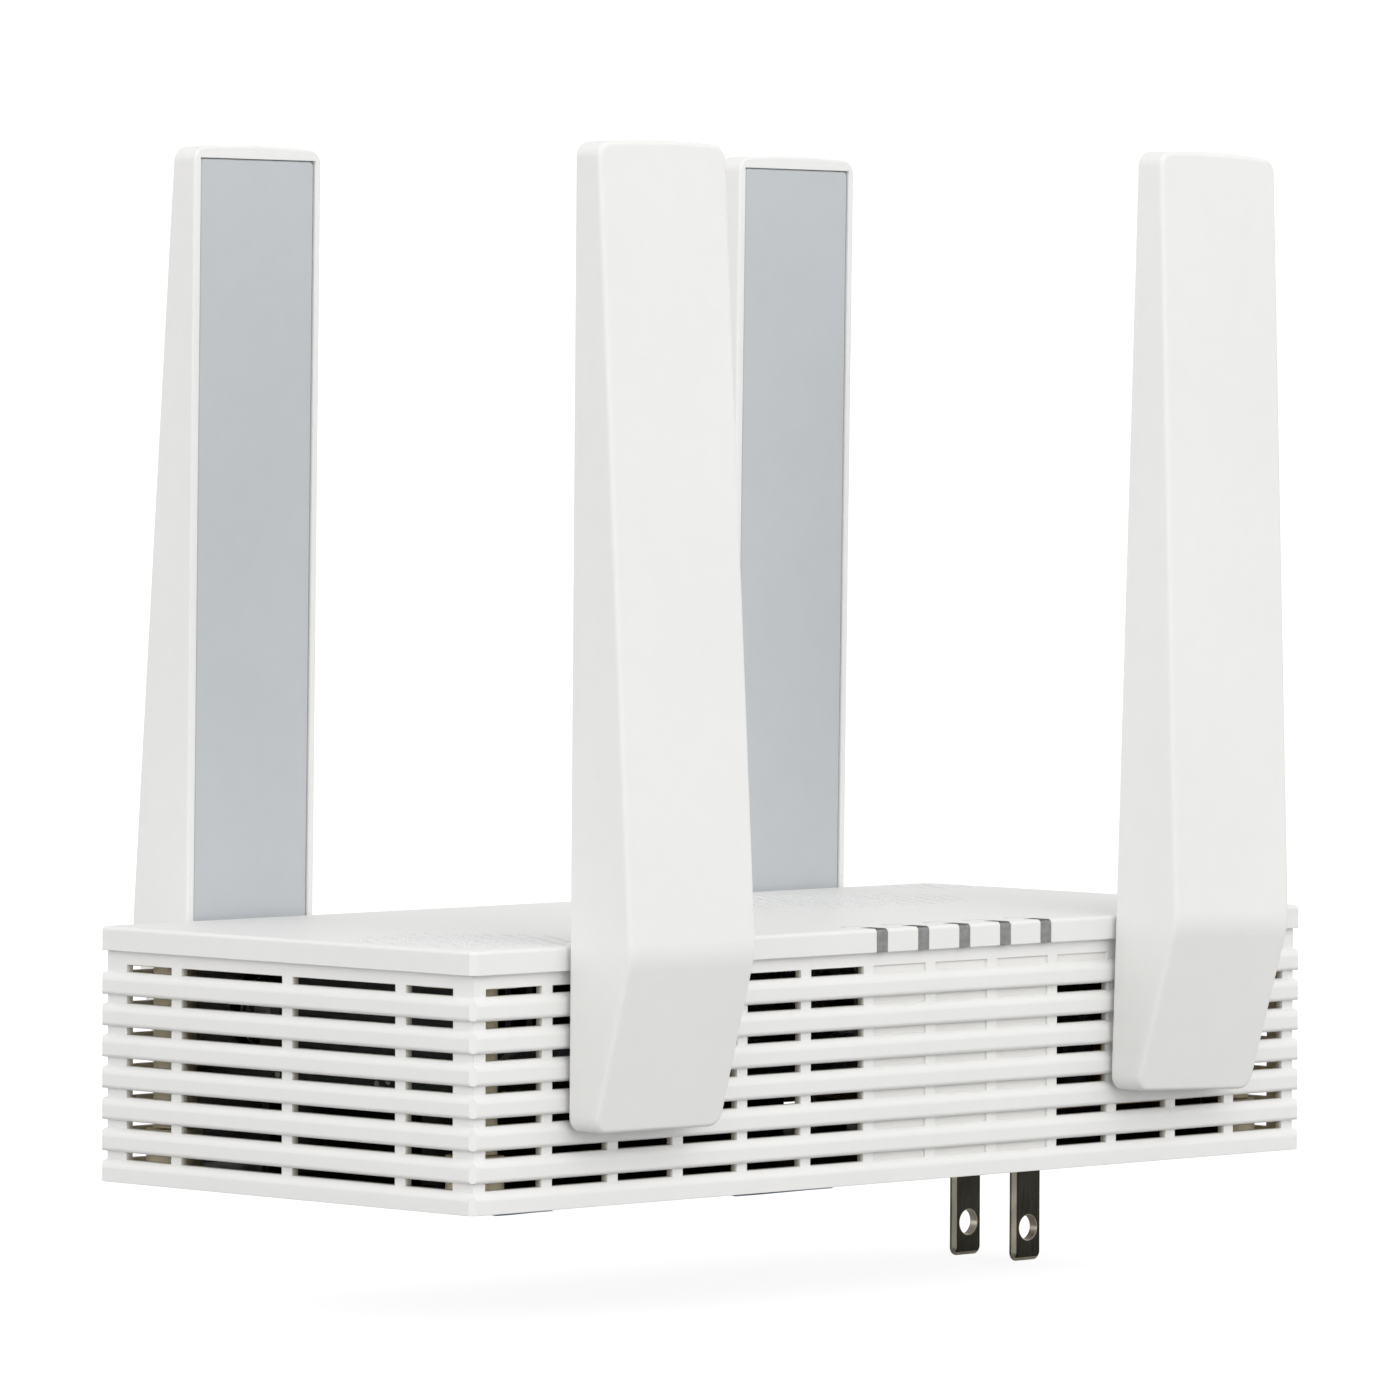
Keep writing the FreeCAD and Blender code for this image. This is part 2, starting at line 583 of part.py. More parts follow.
def light_guides():
    """Five clear prongs from the cover's front edge down to the lights, joined by a bar."""
    body = new_body("light_guides_body")
    prong = new_sketch(body, "guide_prong", "YZ_Plane", guide_left(0))
    front = f"(-{SIDE} + 0.03)"
    stem_front = f"(-{SIDE} + dim.side_wall + 0.3)"
    stem_back = f"({stem_front} + dim.guide_thickness)"
    back = f"(-{SIDE} + dim.guide_top_length)"
    light_top = f"({MAIN_TOP} + 1.4)"
    draw_outline(prong, [
        (front, f"{WALL_TOP} + 0.05"),
        (stem_front, f"{WALL_TOP} + 0.05"),
        (stem_front, light_top),
        (stem_back, light_top),
        (stem_back, f"{WALL_TOP} + 0.05"),
        (back, f"{WALL_TOP} + 1.4"),
        (back, "dim.body_height"),
        (f"{front} + dim.cover_rounding", "dim.body_height", "dim.cover_rounding"),
        (front, "dim.body_height - dim.cover_rounding"),
    ])
    first = pad(body, prong, "dim.guide_width")
    repeat(body, [first], "X_Axis", "5", "dim.guide_pitch")
    bar = new_sketch(body, "guide_bar", "YZ_Plane", guide_left(0))
    draw_rectangle(bar, stem_front, f"{WALL_TOP} - 8", stem_back, f"{WALL_TOP} - 5.4")
    pad(body, bar, "4 * dim.guide_pitch + dim.guide_width")
    return keep(body, "light_guides")


def cover_screws():
    """Four screws from the wall face up into the cover's posts."""
    screws = []
    for index, (x, y) in enumerate(corner_posts()):
        level = "(dim.counterbore_depth - dim.screw_head_height)"
        head = cylinder(f"cover_screw_head_{index}", "dim.screw_head_radius",
                        "dim.screw_head_height", (x, y, level))
        shank = cylinder(f"cover_screw_shank_{index}", "dim.post_pilot",
                         "dim.post_bottom + 8", (x, y, level))
        recess = cylinder(f"cover_screw_recess_{index}", "1.1", "1.0", (x, y, f"{level} - 0.2"))
        blank = fuse(f"cover_screw_blank_{index}", [head, shank])
        screws.append(cut(f"cover_screw_{index}", blank, recess))
    keep(group("cover_screws_group", screws), "cover_screws")


def labels():
    """Two thin blank labels in shallow recesses along the front edge of the wall face."""
    for name, (left, width, depth) in LABELS.items():
        keep(box(f"{name}_sheet", (width, depth, "dim.label_thickness"),
                 (f"{LEFT} + {left}", f"-{SIDE} + dim.label_edge", "0")), name)


# ---------------------------------------------------------------- plug

def plug():
    """Insulating carrier that closes the floor's opening, and the two blades moulded in it."""
    body = new_body("plug_carrier_body")
    half_length = "dim.carrier_length / 2"
    half_width = "dim.carrier_width / 2"
    block = new_sketch(body, "carrier_block", "XY_Plane")
    draw_rectangle(block, f"-{half_length} + 0.1", f"-{half_width} + 0.1",
                   f"{half_length} - 0.1", f"{half_width} - 0.1")
    pad(body, block, "dim.floor_wall + dim.carrier_depth")
    flange = new_sketch(body, "carrier_flange_outline", "XY_Plane", "dim.floor_wall")
    draw_rectangle(flange, f"-{half_length} - dim.carrier_flange",
                   f"-{half_width} - dim.carrier_flange",
                   f"{half_length} + dim.carrier_flange", f"{half_width} + dim.carrier_flange")
    pad(body, flange, "dim.carrier_depth - 1.2")
    slots = new_sketch(body, "carrier_blade_slots", "XY_Plane")
    for side in (-1, 1):
        middle = f"{side} * dim.blade_spacing / 2"
        draw_rectangle(slots, "-dim.blade_width / 2", f"{middle} - dim.blade_thickness / 2",
                       "dim.blade_width / 2", f"{middle} + dim.blade_thickness / 2")
    pocket(body, slots, "10", backwards=True)
    keep(body, "plug_carrier")
    for side, name in ((-1, "blade_front"), (1, "blade_back")):
        plug_blade(name, side)


def plug_blade(name, side):
    """Flat blade with a bevelled tip, a detent hole and a narrow tail soldered to the board."""
    body = new_body(f"{name}_body")
    profile = new_sketch(body, f"{name}_profile", "XZ_Plane",
                         f"{-side} * dim.blade_spacing / 2 - dim.blade_thickness / 2")
    half = "dim.blade_width / 2"
    tail = "dim.blade_tail / 2"
    tail_start = "dim.floor_wall + dim.carrier_depth"
    tail_end = f"{SUPPLY_TOP} + 1.2"
    turn = "dim.blade_tip_corner * 1.08"
    draw_outline(profile, [
        (f"-{half}", "-dim.blade_length + dim.blade_tip_corner", turn),
        (f"-{half} + dim.blade_tip_corner", "-dim.blade_length"),
        (f"{half} - dim.blade_tip_corner", "-dim.blade_length", turn),
        (half, "-dim.blade_length + dim.blade_tip_corner"),
        (half, tail_start), (tail, tail_start), (tail, tail_end),
        (f"-{tail}", tail_end), (f"-{tail}", tail_start), (f"-{half}", tail_start),
    ])
    draw_circle(profile, "0", "-dim.blade_hole_depth", "dim.blade_hole / 2")
    pad(body, profile, "dim.blade_thickness")
    tip = value("-dim.blade_length")
    soften(body, "Chamfer", "dim.blade_tip_bevel",
           lambda edge: runs_along(edge, X_DIRECTION) and abs(edge.Vertexes[0].Z - tip) < 1e-6)
    soften(body, "Chamfer", "dim.blade_side_bevel",
           lambda edge: runs_along(edge, Z_DIRECTION) and edge.Vertexes[0].Z < 0
           and abs(abs(edge.Vertexes[0].X) - value(half)) < 1e-6)
    keep(body, name)


# ---------------------------------------------------------------- antennas

FRONT = -1
BACK = 1
ANTENNAS = (
    ("front_left", FRONT, 0), ("front_right", FRONT, 1),
    ("back_left", BACK, 0), ("back_right", BACK, 1),
)


def on_antenna(subpart, name, side, end):
    """Place a sub-part drawn in the antenna's own frame: pivot at its origin, outside -Y."""
    lean = FreeCAD.Rotation(Y_DIRECTION, value(f"dim.lean_{name}"))
    turn = FreeCAD.Rotation(Z_DIRECTION, 180 if side == BACK else 0)
    subpart.Placement.Rotation = lean * turn
    place(subpart, pivot_places()[end], f"{side} * ({SIDE} + dim.antenna_gap)",
          "dim.pivot_height")


def antenna_shell(name, side, end):
    """Hollow paddle: thin at the tip, thickest at the kink, open for the inner panel."""
    body = new_body(f"antenna_shell_{name}_body")
    profile = new_sketch(body, f"shell_profile_{name}", "YZ_Plane")
    draw_outline(profile, [
        ("0", "-dim.antenna_tail"), ("0", "dim.antenna_reach"),
        ("-dim.antenna_top_thickness", "dim.antenna_reach"),
        ("-dim.antenna_kink_thickness", "dim.antenna_kink"),
        ("-dim.antenna_tail_thickness", "-dim.antenna_tail"),
    ])
    pad(body, profile, "dim.antenna_width", both_ways=True)
    crown = new_sketch(body, f"shell_crown_{name}", "XZ_Plane", "-1")
    edge = "(dim.antenna_width / 2)"
    low = "(dim.antenna_reach - dim.antenna_crown)"
    bow = f"({edge} * {edge} + dim.antenna_crown ^ 2) / (2 * dim.antenna_crown)"
    draw_outline(crown, [
        (edge, low, bow), (f"-{edge}", low), (f"-{edge} - 2", low),
        (f"-{edge} - 2", "dim.antenna_reach + 2"), (f"{edge} + 2", "dim.antenna_reach + 2"),
        (f"{edge} + 2", low),
    ])
    pocket(body, crown, "dim.antenna_top_thickness + 3", backwards=True)
    kink_y = value("-dim.antenna_kink_thickness")
    soften(body, "Fillet", "dim.antenna_kink_radius",
           lambda edge: runs_along(edge, X_DIRECTION)
           and abs(edge.Vertexes[0].Y - kink_y) < 1e-6)
    soften(body, "Fillet", "dim.antenna_corner", lambda edge: runs_along(edge, Y_DIRECTION))
    soften(body, "Fillet", "dim.antenna_edge", is_outer_rim)
    soften(body, "Fillet", "dim.antenna_edge * 0.6", is_inner_rim)

    recess = new_sketch(body, f"panel_recess_{name}", "XZ_Plane")
    half = "(dim.antenna_width / 2 - dim.panel_margin)"
    draw_rectangle(recess, f"-{half}", "dim.panel_start", half,
                   "dim.antenna_reach - dim.panel_top_margin")
    pocket(body, recess, "dim.panel_recess", backwards=True)
    hollow = new_sketch(body, f"shell_hollow_{name}", "YZ_Plane")
    draw_outline(hollow, [
        ("-dim.panel_recess", "-dim.antenna_tail + dim.antenna_wall + 0.6"),
        ("-dim.panel_recess", "dim.antenna_reach - dim.panel_top_margin - 1"),
        ("-dim.antenna_top_thickness + dim.antenna_wall",
         "dim.antenna_reach - dim.panel_top_margin - 1"),
        ("-dim.antenna_kink_thickness + dim.antenna_wall + 0.5", "dim.antenna_kink"),
        ("-dim.antenna_tail_thickness + dim.antenna_wall - 0.6",
         "-dim.antenna_tail + dim.antenna_wall + 0.6"),
    ])
    pocket(body, hollow, "dim.antenna_width - 2 * dim.antenna_side_wall", both_ways=True)
    collar = new_sketch(body, f"pivot_collar_{name}", "XZ_Plane")
    draw_circle(collar, "0", "0", "dim.collar_radius")
    pad(body, collar, "dim.collar_height", backwards=True)
    bore = new_sketch(body, f"hub_hole_{name}", "XZ_Plane", "-dim.collar_height")
    draw_circle(bore, "0", "0", "dim.barrel_radius + 0.02")
    pocket(body, bore, "dim.collar_height + dim.panel_recess + 0.2", backwards=True)
    on_antenna(body, name, side, end)
    keep(body, f"antenna_shell_{name}")


def is_outer_rim(edge):
    """Edges between the outer face and the sides, top and tail."""
    middle = edge.valueAt((edge.FirstParameter + edge.LastParameter) / 2)
    half = value("dim.antenna_width / 2")
    corner = value("dim.antenna_corner")
    on_side = abs(abs(middle.x) - half) < 1e-4
    on_end = (middle.z > value("dim.antenna_reach") - corner
              or middle.z < value("-dim.antenna_tail") + corner)
    touches_inside = any(abs(vertex.Y) < 1e-6 for vertex in edge.Vertexes)
    return (on_side or on_end) and not touches_inside


def is_inner_rim(edge):
    """Edges round the flat inner face."""
    return all(abs(vertex.Y) < 1e-6 for vertex in edge.Vertexes)


def antenna_panel(name, side, end):
    """Grey panel that closes the paddle's inner side."""
    body = new_body(f"antenna_panel_{name}_body")
    outline = new_sketch(body, f"panel_outline_{name}", "XZ_Plane", "dim.panel_sunk")
    half = "(dim.antenna_width / 2 - dim.panel_margin - dim.panel_play)"
    draw_rectangle(outline, f"-{half}", "dim.panel_start + dim.panel_play", half,
                   "dim.antenna_reach - dim.panel_top_margin - dim.panel_play")
    pad(body, outline, "dim.panel_recess - dim.panel_sunk")
    soften(body, "Fillet", "0.8", lambda edge: runs_along(edge, Y_DIRECTION))
    face = value("-dim.panel_sunk")
    soften(body, "Chamfer", "dim.panel_bevel",
           lambda edge: all(abs(vertex.Y - face) < 1e-6 for vertex in edge.Vertexes))
    on_antenna(body, name, side, end)
    keep(body, f"antenna_panel_{name}")


def antenna_radiator(name, side, end):
    """Thin circuit board inside the paddle that carries the dipole."""
    body = new_body(f"antenna_radiator_{name}_body")
    outline = new_sketch(body, f"radiator_outline_{name}", "XZ_Plane",
                         "dim.panel_recess + 0.3")
    draw_rectangle(outline, "-8", "dim.panel_start + 8", "8", "dim.antenna_reach - 8")
    draw_circle(outline, "0", "dim.panel_start + 12", "1.2")
    draw_circle(outline, "0", "dim.antenna_reach - 12", "1.2")
    pad(body, outline, "0.8")
    on_antenna(body, name, side, end)
    keep(body, f"antenna_radiator_{name}")


def antenna_hub(name, side, end):
    """Hinge hub: flange inside the paddle, hollow barrel through the wall, ring groove."""
    body = new_body(f"antenna_hub_{name}_body")
    section = new_sketch(body, f"hub_section_{name}", "YZ_Plane")
    face = "-dim.panel_recess - 0.02"
    wall_inside = "(dim.antenna_gap + dim.pivot_pad_depth + dim.washer_thickness + 0.1)"
    ring_end = f"({wall_inside} + dim.ring_thickness + 0.1)"
    draw_outline(section, [
        (f"{face} - dim.flange_thickness", "dim.barrel_bore"),
        (f"{face} - dim.flange_thickness", "dim.flange_radius"),
        (face, "dim.flange_radius"),
        (face, "dim.barrel_radius"),
        (wall_inside, "dim.barrel_radius"),
        (wall_inside, "dim.ring_groove_radius"),
        (ring_end, "dim.ring_groove_radius"),
        (ring_end, "dim.barrel_radius"),
        ("dim.barrel_end - 0.5", "dim.barrel_radius"),
        ("dim.barrel_end", "dim.barrel_radius - 0.5"),
        ("dim.barrel_end", "dim.barrel_bore"),
    ])
    turned = body.newObject("PartDesign::Revolution", f"hub_turned_{name}")
    turned.Profile = section
    turned.ReferenceAxis = (section, ["H_Axis"])
    turned.Angle = 360
    doc.recompute()
    on_antenna(body, name, side, end)
    keep(body, f"antenna_hub_{name}")


def antenna_washer(name, side, end):
    """Friction washer that stays against the wall's pivot pad."""
    start = "(dim.antenna_gap + dim.pivot_pad_depth + 0.02)"
    disc = cylinder(f"washer_disc_{name}", "dim.ring_radius", "dim.washer_thickness",
                    ("0", start, "0"), Y_DIRECTION)
    hole = cylinder(f"washer_hole_{name}", "dim.barrel_radius + dim.barrel_fit", "3",
                    ("0", f"{start} - 1", "0"), Y_DIRECTION)
    washer = cut(f"washer_{name}", disc, hole)
    on_antenna(washer, name, side, end)
    return washer


def antenna_ring(name, side, end):
    """Open retaining ring that snaps into the barrel's groove."""
    start = "(dim.antenna_gap + dim.pivot_pad_depth + dim.washer_thickness + 0.15)"
    disc = cylinder(f"ring_disc_{name}", "dim.ring_radius", "dim.ring_thickness",
                    ("0", start, "0"), Y_DIRECTION)
    hole = cylinder(f"ring_hole_{name}", "dim.ring_groove_radius + 0.03", "3",
                    ("0", f"{start} - 1", "0"), Y_DIRECTION)
    mouth = box(f"ring_mouth_{name}", ("2 * dim.ring_groove_radius - 1.2", "3", "8"),
                ("-dim.ring_groove_radius + 0.6", f"{start} - 1", "-8"))
    ring = cut(f"ring_{name}", disc, fuse(f"ring_opening_{name}", [hole, mouth]))
    on_antenna(ring, name, side, end)
    keep(ring, f"retaining_ring_{name}")


def tube(points, radius, bend):
    """Solid tube along straight runs joined by tangent arcs."""
    edges = []
    start = points[0]
    for before, corner, after in zip(points, points[1:], points[2:]):
        back = (before - corner).normalize()
        ahead = (after - corner).normalize()
        half_turn = (math.pi - back.getAngle(ahead)) / 2
        reach = bend * math.tan(half_turn)
        bisector = (back + ahead).normalize()
        middle = corner + bisector * (bend / math.cos(half_turn) - bend)
        arc_start = corner + back * reach
        arc_end = corner + ahead * reach
        edges.append(Part.LineSegment(start, arc_start).toShape())
        edges.append(Part.Arc(arc_start, middle, arc_end).toShape())
        start = arc_end
    edges.append(Part.LineSegment(start, points[-1]).toShape())
    path = Part.Wire(edges)
    section = Part.Wire(Part.makeCircle(radius, points[0], points[1] - points[0]))
    return path.makePipeShell([section], True, False)


COAX_RADIUS = 0.66
COAX_BEND = 1.6


def antenna_coax(name, side, end):
    """Coaxial lead from the pivot's hollow barrel to its socket on the main board."""
    pivot_x = value(pivot_places()[end])
    pivot_z = value("dim.pivot_height")
    wall = value(f"{SIDE} + dim.antenna_gap")
    socket_x, socket_y, socket_z = antenna_socket(side, end)
    row = abs(socket_y)
    points = [
        FreeCAD.Vector(pivot_x, side * (wall + 2.4), pivot_z),
        FreeCAD.Vector(pivot_x, side * (row + 6), pivot_z),
        FreeCAD.Vector((pivot_x + socket_x) / 2, side * (row + 2), (pivot_z + socket_z) / 2 + 1),
        FreeCAD.Vector(socket_x + 4, socket_y, socket_z),
        FreeCAD.Vector(socket_x + 1.8, socket_y, socket_z),
    ]
    lead = doc.addObject("Part::Feature", f"coax_{name}")
    lead.Shape = tube(points, COAX_RADIUS, COAX_BEND)
    keep(lead, f"coax_lead_{name}")


def antenna_socket(side, end):
    """Centre of a lead's socket: on the main board, above its top face."""
    x = value("dim.main_board_right") - 5 if end else value(pivot_places()[0]) - 14
    row = 16.0 if end else 22.0
    return (x, side * row, value(MAIN_TOP) + 1.3)


def antenna_sockets():
    """Four miniature coaxial sockets on the main board."""
    sockets = []
    for name, side, end in ANTENNAS:
        x, y, _ = antenna_socket(side, end)
        base = box(f"socket_base_{name}", ("3", "3", "0.5"), (x - 1.5, y - 1.5, f"{MAIN_TOP}"))
        can = cylinder(f"socket_can_{name}", "1.3", "1.6", (x, y, f"{MAIN_TOP} + 0.4"))
        sockets.append(fuse(f"socket_{name}", [base, can]))
    keep(group("antenna_sockets_group", sockets), "antenna_sockets")


# ---------------------------------------------------------------- boards

def main_board():
    """Main circuit board with holes for its screws."""
    body = new_body("main_board_body")
    outline = new_sketch(body, "main_board_outline", "XY_Plane", "dim.main_board_level")
    draw_rectangle(outline, "dim.main_board_left", "dim.main_board_front",
                   "dim.main_board_right", "dim.main_board_back")
    for x, y in main_standoffs():
        draw_circle(outline, x, y, "dim.board_screw_radius + 0.2")
    pad(body, outline, "dim.board_thickness")
    keep(body, "main_board")


def supply_board():
    """Mains supply board, with slots for the blades' tails and holes for its screws."""
    body = new_body("supply_board_body")
    outline = new_sketch(body, "supply_board_outline", "XY_Plane", "dim.supply_board_level")
    draw_rectangle(outline, "dim.supply_board_left", "-dim.supply_board_side",
                   "dim.supply_board_right", "dim.supply_board_side")
    for x, y in supply_standoffs():
        draw_circle(outline, x, y, "dim.board_screw_radius + 0.2")
    for side in (-1, 1):
        middle = f"{side} * dim.blade_spacing / 2"
        draw_rectangle(outline, "-1.4", f"{middle} - 1", "1.4", f"{middle} + 1")
    pad(body, outline, "dim.board_thickness")
    keep(body, "supply_board")


def board_screws():
    """Pan-head screws that hold the two boards to the standoffs."""
    screws = []
    spots = [(x, y, MAIN_TOP) for x, y in main_standoffs()]
    spots += [(x, y, SUPPLY_TOP) for x, y in supply_standoffs()]
    for index, (x, y, level) in enumerate(spots):
        head = cylinder(f"board_screw_head_{index}", "2.2", "1.3", (x, y, level))
        shank = cylinder(f"board_screw_shank_{index}", "dim.board_screw_radius - 0.02",
                         "dim.board_thickness + 4", (x, y, f"{level} - dim.board_thickness - 4"))
        blank = fuse(f"board_screw_blank_{index}", [head, shank])
        slot = box(f"board_screw_slot_{index}", ("3.2", "0.5", "0.7"),
                   (f"{x} - 1.6", f"{y} - 0.25", f"{level} + 0.7"))
        screws.append(cut(f"board_screw_{index}", blank, slot))
    keep(group("board_screws_group", screws), "board_screws")


def shield_can(name, left, front, length, width):
    """Thin folded metal can over a radio section, open underneath."""
    outside = box(f"{name}_outside", (length, width, "dim.can_height"), (left, front, MAIN_TOP))
    inside = box(f"{name}_inside", (f"{length} - 2 * dim.can_wall", f"{width} - 2 * dim.can_wall",
                                    "dim.can_height - dim.can_wall"),
                 (f"{left} + dim.can_wall", f"{front} + dim.can_wall", MAIN_TOP))
    keep(cut(f"{name}_can", outside, inside), name)


def processor_stack():
    """Processor, thermal pad and finned heat sink over the left half of the main board."""
    side = "dim.processor_side"
    corner = ("dim.processor_left", f"-{side} / 2")
    pad_level = f"{MAIN_TOP} + dim.processor_height"
    sink_level = f"{pad_level} + dim.thermal_pad_height"
    keep(box("processor_package", (side, side, "dim.processor_height"), (*corner, MAIN_TOP)),
         "processor")
    keep(box("thermal_pad_sheet", (side, side, "dim.thermal_pad_height"), (*corner, pad_level)),
         "thermal_pad")
    body = new_body("heat_sink_body")
    plate = new_sketch(body, "sink_plate_outline", "XY_Plane", sink_level)
    right = "dim.sink_left + dim.sink_length"
    half = "dim.sink_width / 2"
    draw_rectangle(plate, "dim.sink_left", f"-{half}", right, half)
    pad(body, plate, "dim.sink_plate")
    fin = new_sketch(body, "sink_fin_outline", "XY_Plane", f"{sink_level} + dim.sink_plate")
    draw_rectangle(fin, "dim.sink_left", f"-{half}", "dim.sink_left + dim.sink_fin", half)
    first = pad(body, fin, "dim.sink_fin_height")
    repeat(body, [first], "X_Axis", "dim.sink_fin_count",
           "(dim.sink_length - dim.sink_fin) / (dim.sink_fin_count - 1)")
    keep(body, "heat_sink")


def chips():
    """Memory chips, the network socket's isolating transformer and the status lights."""
    memory = [
        box("flash_chip", ("8", "6", "1.6"), ("-62", "-14", MAIN_TOP)),
        box("memory_chip", ("14", "9", "1.2"), ("-62", "-4", MAIN_TOP)),
    ]
    keep(group("memory_chips_group", memory), "memory_chips")
    keep(box("isolating_transformer_block", ("16", "10", "5.4"), ("-66", "7.5", MAIN_TOP)),
         "network_transformer")
    lights = []
    length, width, height = ("1.6", "0.9", "0.8")
    for index in range(5):
        x = f"{guide_left(index)} + (dim.guide_width - {length}) / 2"
        y = f"-{SIDE} + dim.side_wall + 0.3 + (dim.guide_thickness - {width}) / 2"
        lights.append(box(f"status_light_{index}", (length, width, height), (x, y, MAIN_TOP)))
    keep(group("status_lights_group", lights), "status_lights")


def transformer():
    """Ferrite frame and the wound coil in its window."""
    level = f"{SUPPLY_TOP} + 0.5"
    window_front = "dim.core_front + dim.core_leg"
    window_width = "(dim.core_width - 2 * dim.core_leg)"
    window_height = "(dim.core_height - 2 * dim.core_yoke)"
    core = [
        box("core_block", ("dim.core_length", "dim.core_width", "dim.core_height"),
            ("dim.core_left", "dim.core_front", level)),
        box("core_window", ("dim.core_length + 0.2", window_width, window_height),
            ("dim.core_left - 0.1", window_front, f"{level} + dim.core_yoke")),
    ]
    keep(cut("transformer_core_frame", *core), "transformer_core")
    bobbin = new_body("transformer_winding_body")
    coil = new_sketch(bobbin, "winding_section", "YZ_Plane", "dim.core_left")
    play = "dim.winding_play"
    draw_rectangle(coil, f"{window_front} + {play}", f"{level} + dim.core_yoke + {play}",
                   f"{window_front} + {window_width} - {play}",
                   f"{level} + dim.core_height - dim.core_yoke - {play}")
    pad(bobbin, coil, "dim.core_length")
    soften(bobbin, "Fillet", "2", lambda edge: runs_along(edge, X_DIRECTION))
    keep(bobbin, "transformer_winding")


def supply_parts():
    """Capacitors, choke, fuse and rectifier on the supply board."""
    caps = []
    # middle x and y, radius, height
    sizes = ((14.5, 13.0, 5.0, 20.0), (14.5, 2.0, 5.0, 20.0), (-0.5, -15.0, 4.0, 12.0))
    for index, (x, y, radius, height) in enumerate(sizes):
        can = cylinder(f"capacitor_can_{index}", radius, height, (x, y, SUPPLY_TOP))
        vent = cylinder(f"capacitor_vent_{index}", radius * 0.8, "0.3",
                        (x, y, f"{SUPPLY_TOP} + {height} - 0.2"))
        caps.append(cut(f"capacitor_{index}", can, vent))
    keep(group("capacitors_group", caps), "electrolytic_capacitors")
    keep(box("film_capacitor_block", ("9", "5.5", "11"), ("4.5", "-22", SUPPLY_TOP)),
         "interference_capacitor")
    ring = doc.addObject("Part::Torus", "choke_ring")
    ring.setExpression("Radius1", "4.4")
    ring.setExpression("Radius2", "2.1")
    place(ring, "-13", "-14.5", f"{SUPPLY_TOP} + 2.2")
    keep(ring, "mains_choke")
    tube_body = cylinder("fuse_tube", "1.8", "8", ("12", "-12.5", f"{SUPPLY_TOP} + 2"), X_DIRECTION)
    keep(tube_body, "mains_fuse")
    keep(box("rectifier_block", ("9", "3", "8"), ("-20", "-6", SUPPLY_TOP)), "bridge_rectifier")


def supply_lead():
    """Two-wire lead from the supply board up to the main board."""
    wires = []
    for index, y in enumerate((-2.0, 0.4)):
        points = [
            FreeCAD.Vector(-18.5, y, value(SUPPLY_TOP)),
            FreeCAD.Vector(-18.5, y, value(MAIN_TOP) + 7),
            FreeCAD.Vector(-28.5, y, value(MAIN_TOP) + 7),
            FreeCAD.Vector(-28.5, y, value(MAIN_TOP) + 3.0),
        ]
        wire = doc.addObject("Part::Feature", f"supply_wire_{index}")
        wire.Shape = tube(points, 0.75, 2.6)
        wires.append(wire)
    keep(group("supply_lead_group", wires), "supply_lead")
    keep(box("supply_header_block", ("4.5", "6", "3"), ("-30.8", "-3.8", MAIN_TOP)),
         "supply_header")


# ---------------------------------------------------------------- socket and button

def network_socket():
    """Eight-way network socket with its mouth in the back wall, and its contact springs."""
    half = "dim.jack_width / 2"
    back = f"({SIDE} - 0.2)"
    front = f"({back} - dim.jack_depth)"
    shell = box("socket_block", ("dim.jack_width", "dim.jack_depth", "dim.jack_height"),
                (f"dim.jack_middle - {half}", front, MAIN_TOP))
    mouth = box("socket_mouth", ("dim.jack_opening_width", "dim.jack_opening_depth + 1",
                                 "dim.jack_opening_height"),
                ("dim.jack_middle - dim.jack_opening_width / 2",
                 f"{back} - dim.jack_opening_depth", f"{MAIN_TOP} + 4.6"))
    latch = box("socket_latch_slot", ("dim.latch_width", "dim.jack_opening_depth + 1",
                                      "dim.latch_height + 0.1"),
                ("dim.jack_middle - dim.latch_width / 2",
                 f"{back} - dim.jack_opening_depth", f"{MAIN_TOP} + 4.6 - dim.latch_height"))
    keep(cut("socket_shell", shell, fuse("socket_hollow", [mouth, latch])), "network_socket")
    springs = []
    for index in range(8):
        x = value("dim.jack_middle") + (index - 3.5) * 1.02
        roof = value(f"{MAIN_TOP} + 4.6 + dim.jack_opening_height")
        deep = value(f"{back} - dim.jack_opening_depth")
        points = [
            FreeCAD.Vector(x, deep + 10.5, roof - 0.45),
            FreeCAD.Vector(x, deep + 9.0, roof - 0.45),
            FreeCAD.Vector(x, deep + 0.3, roof - 2.2),
        ]
        spring = doc.addObject("Part::Feature", f"contact_spring_{index}")
        spring.Shape = tube(points, 0.2, 0.8)
        springs.append(spring)
    keep(group("contact_springs_group", springs), "socket_contacts")


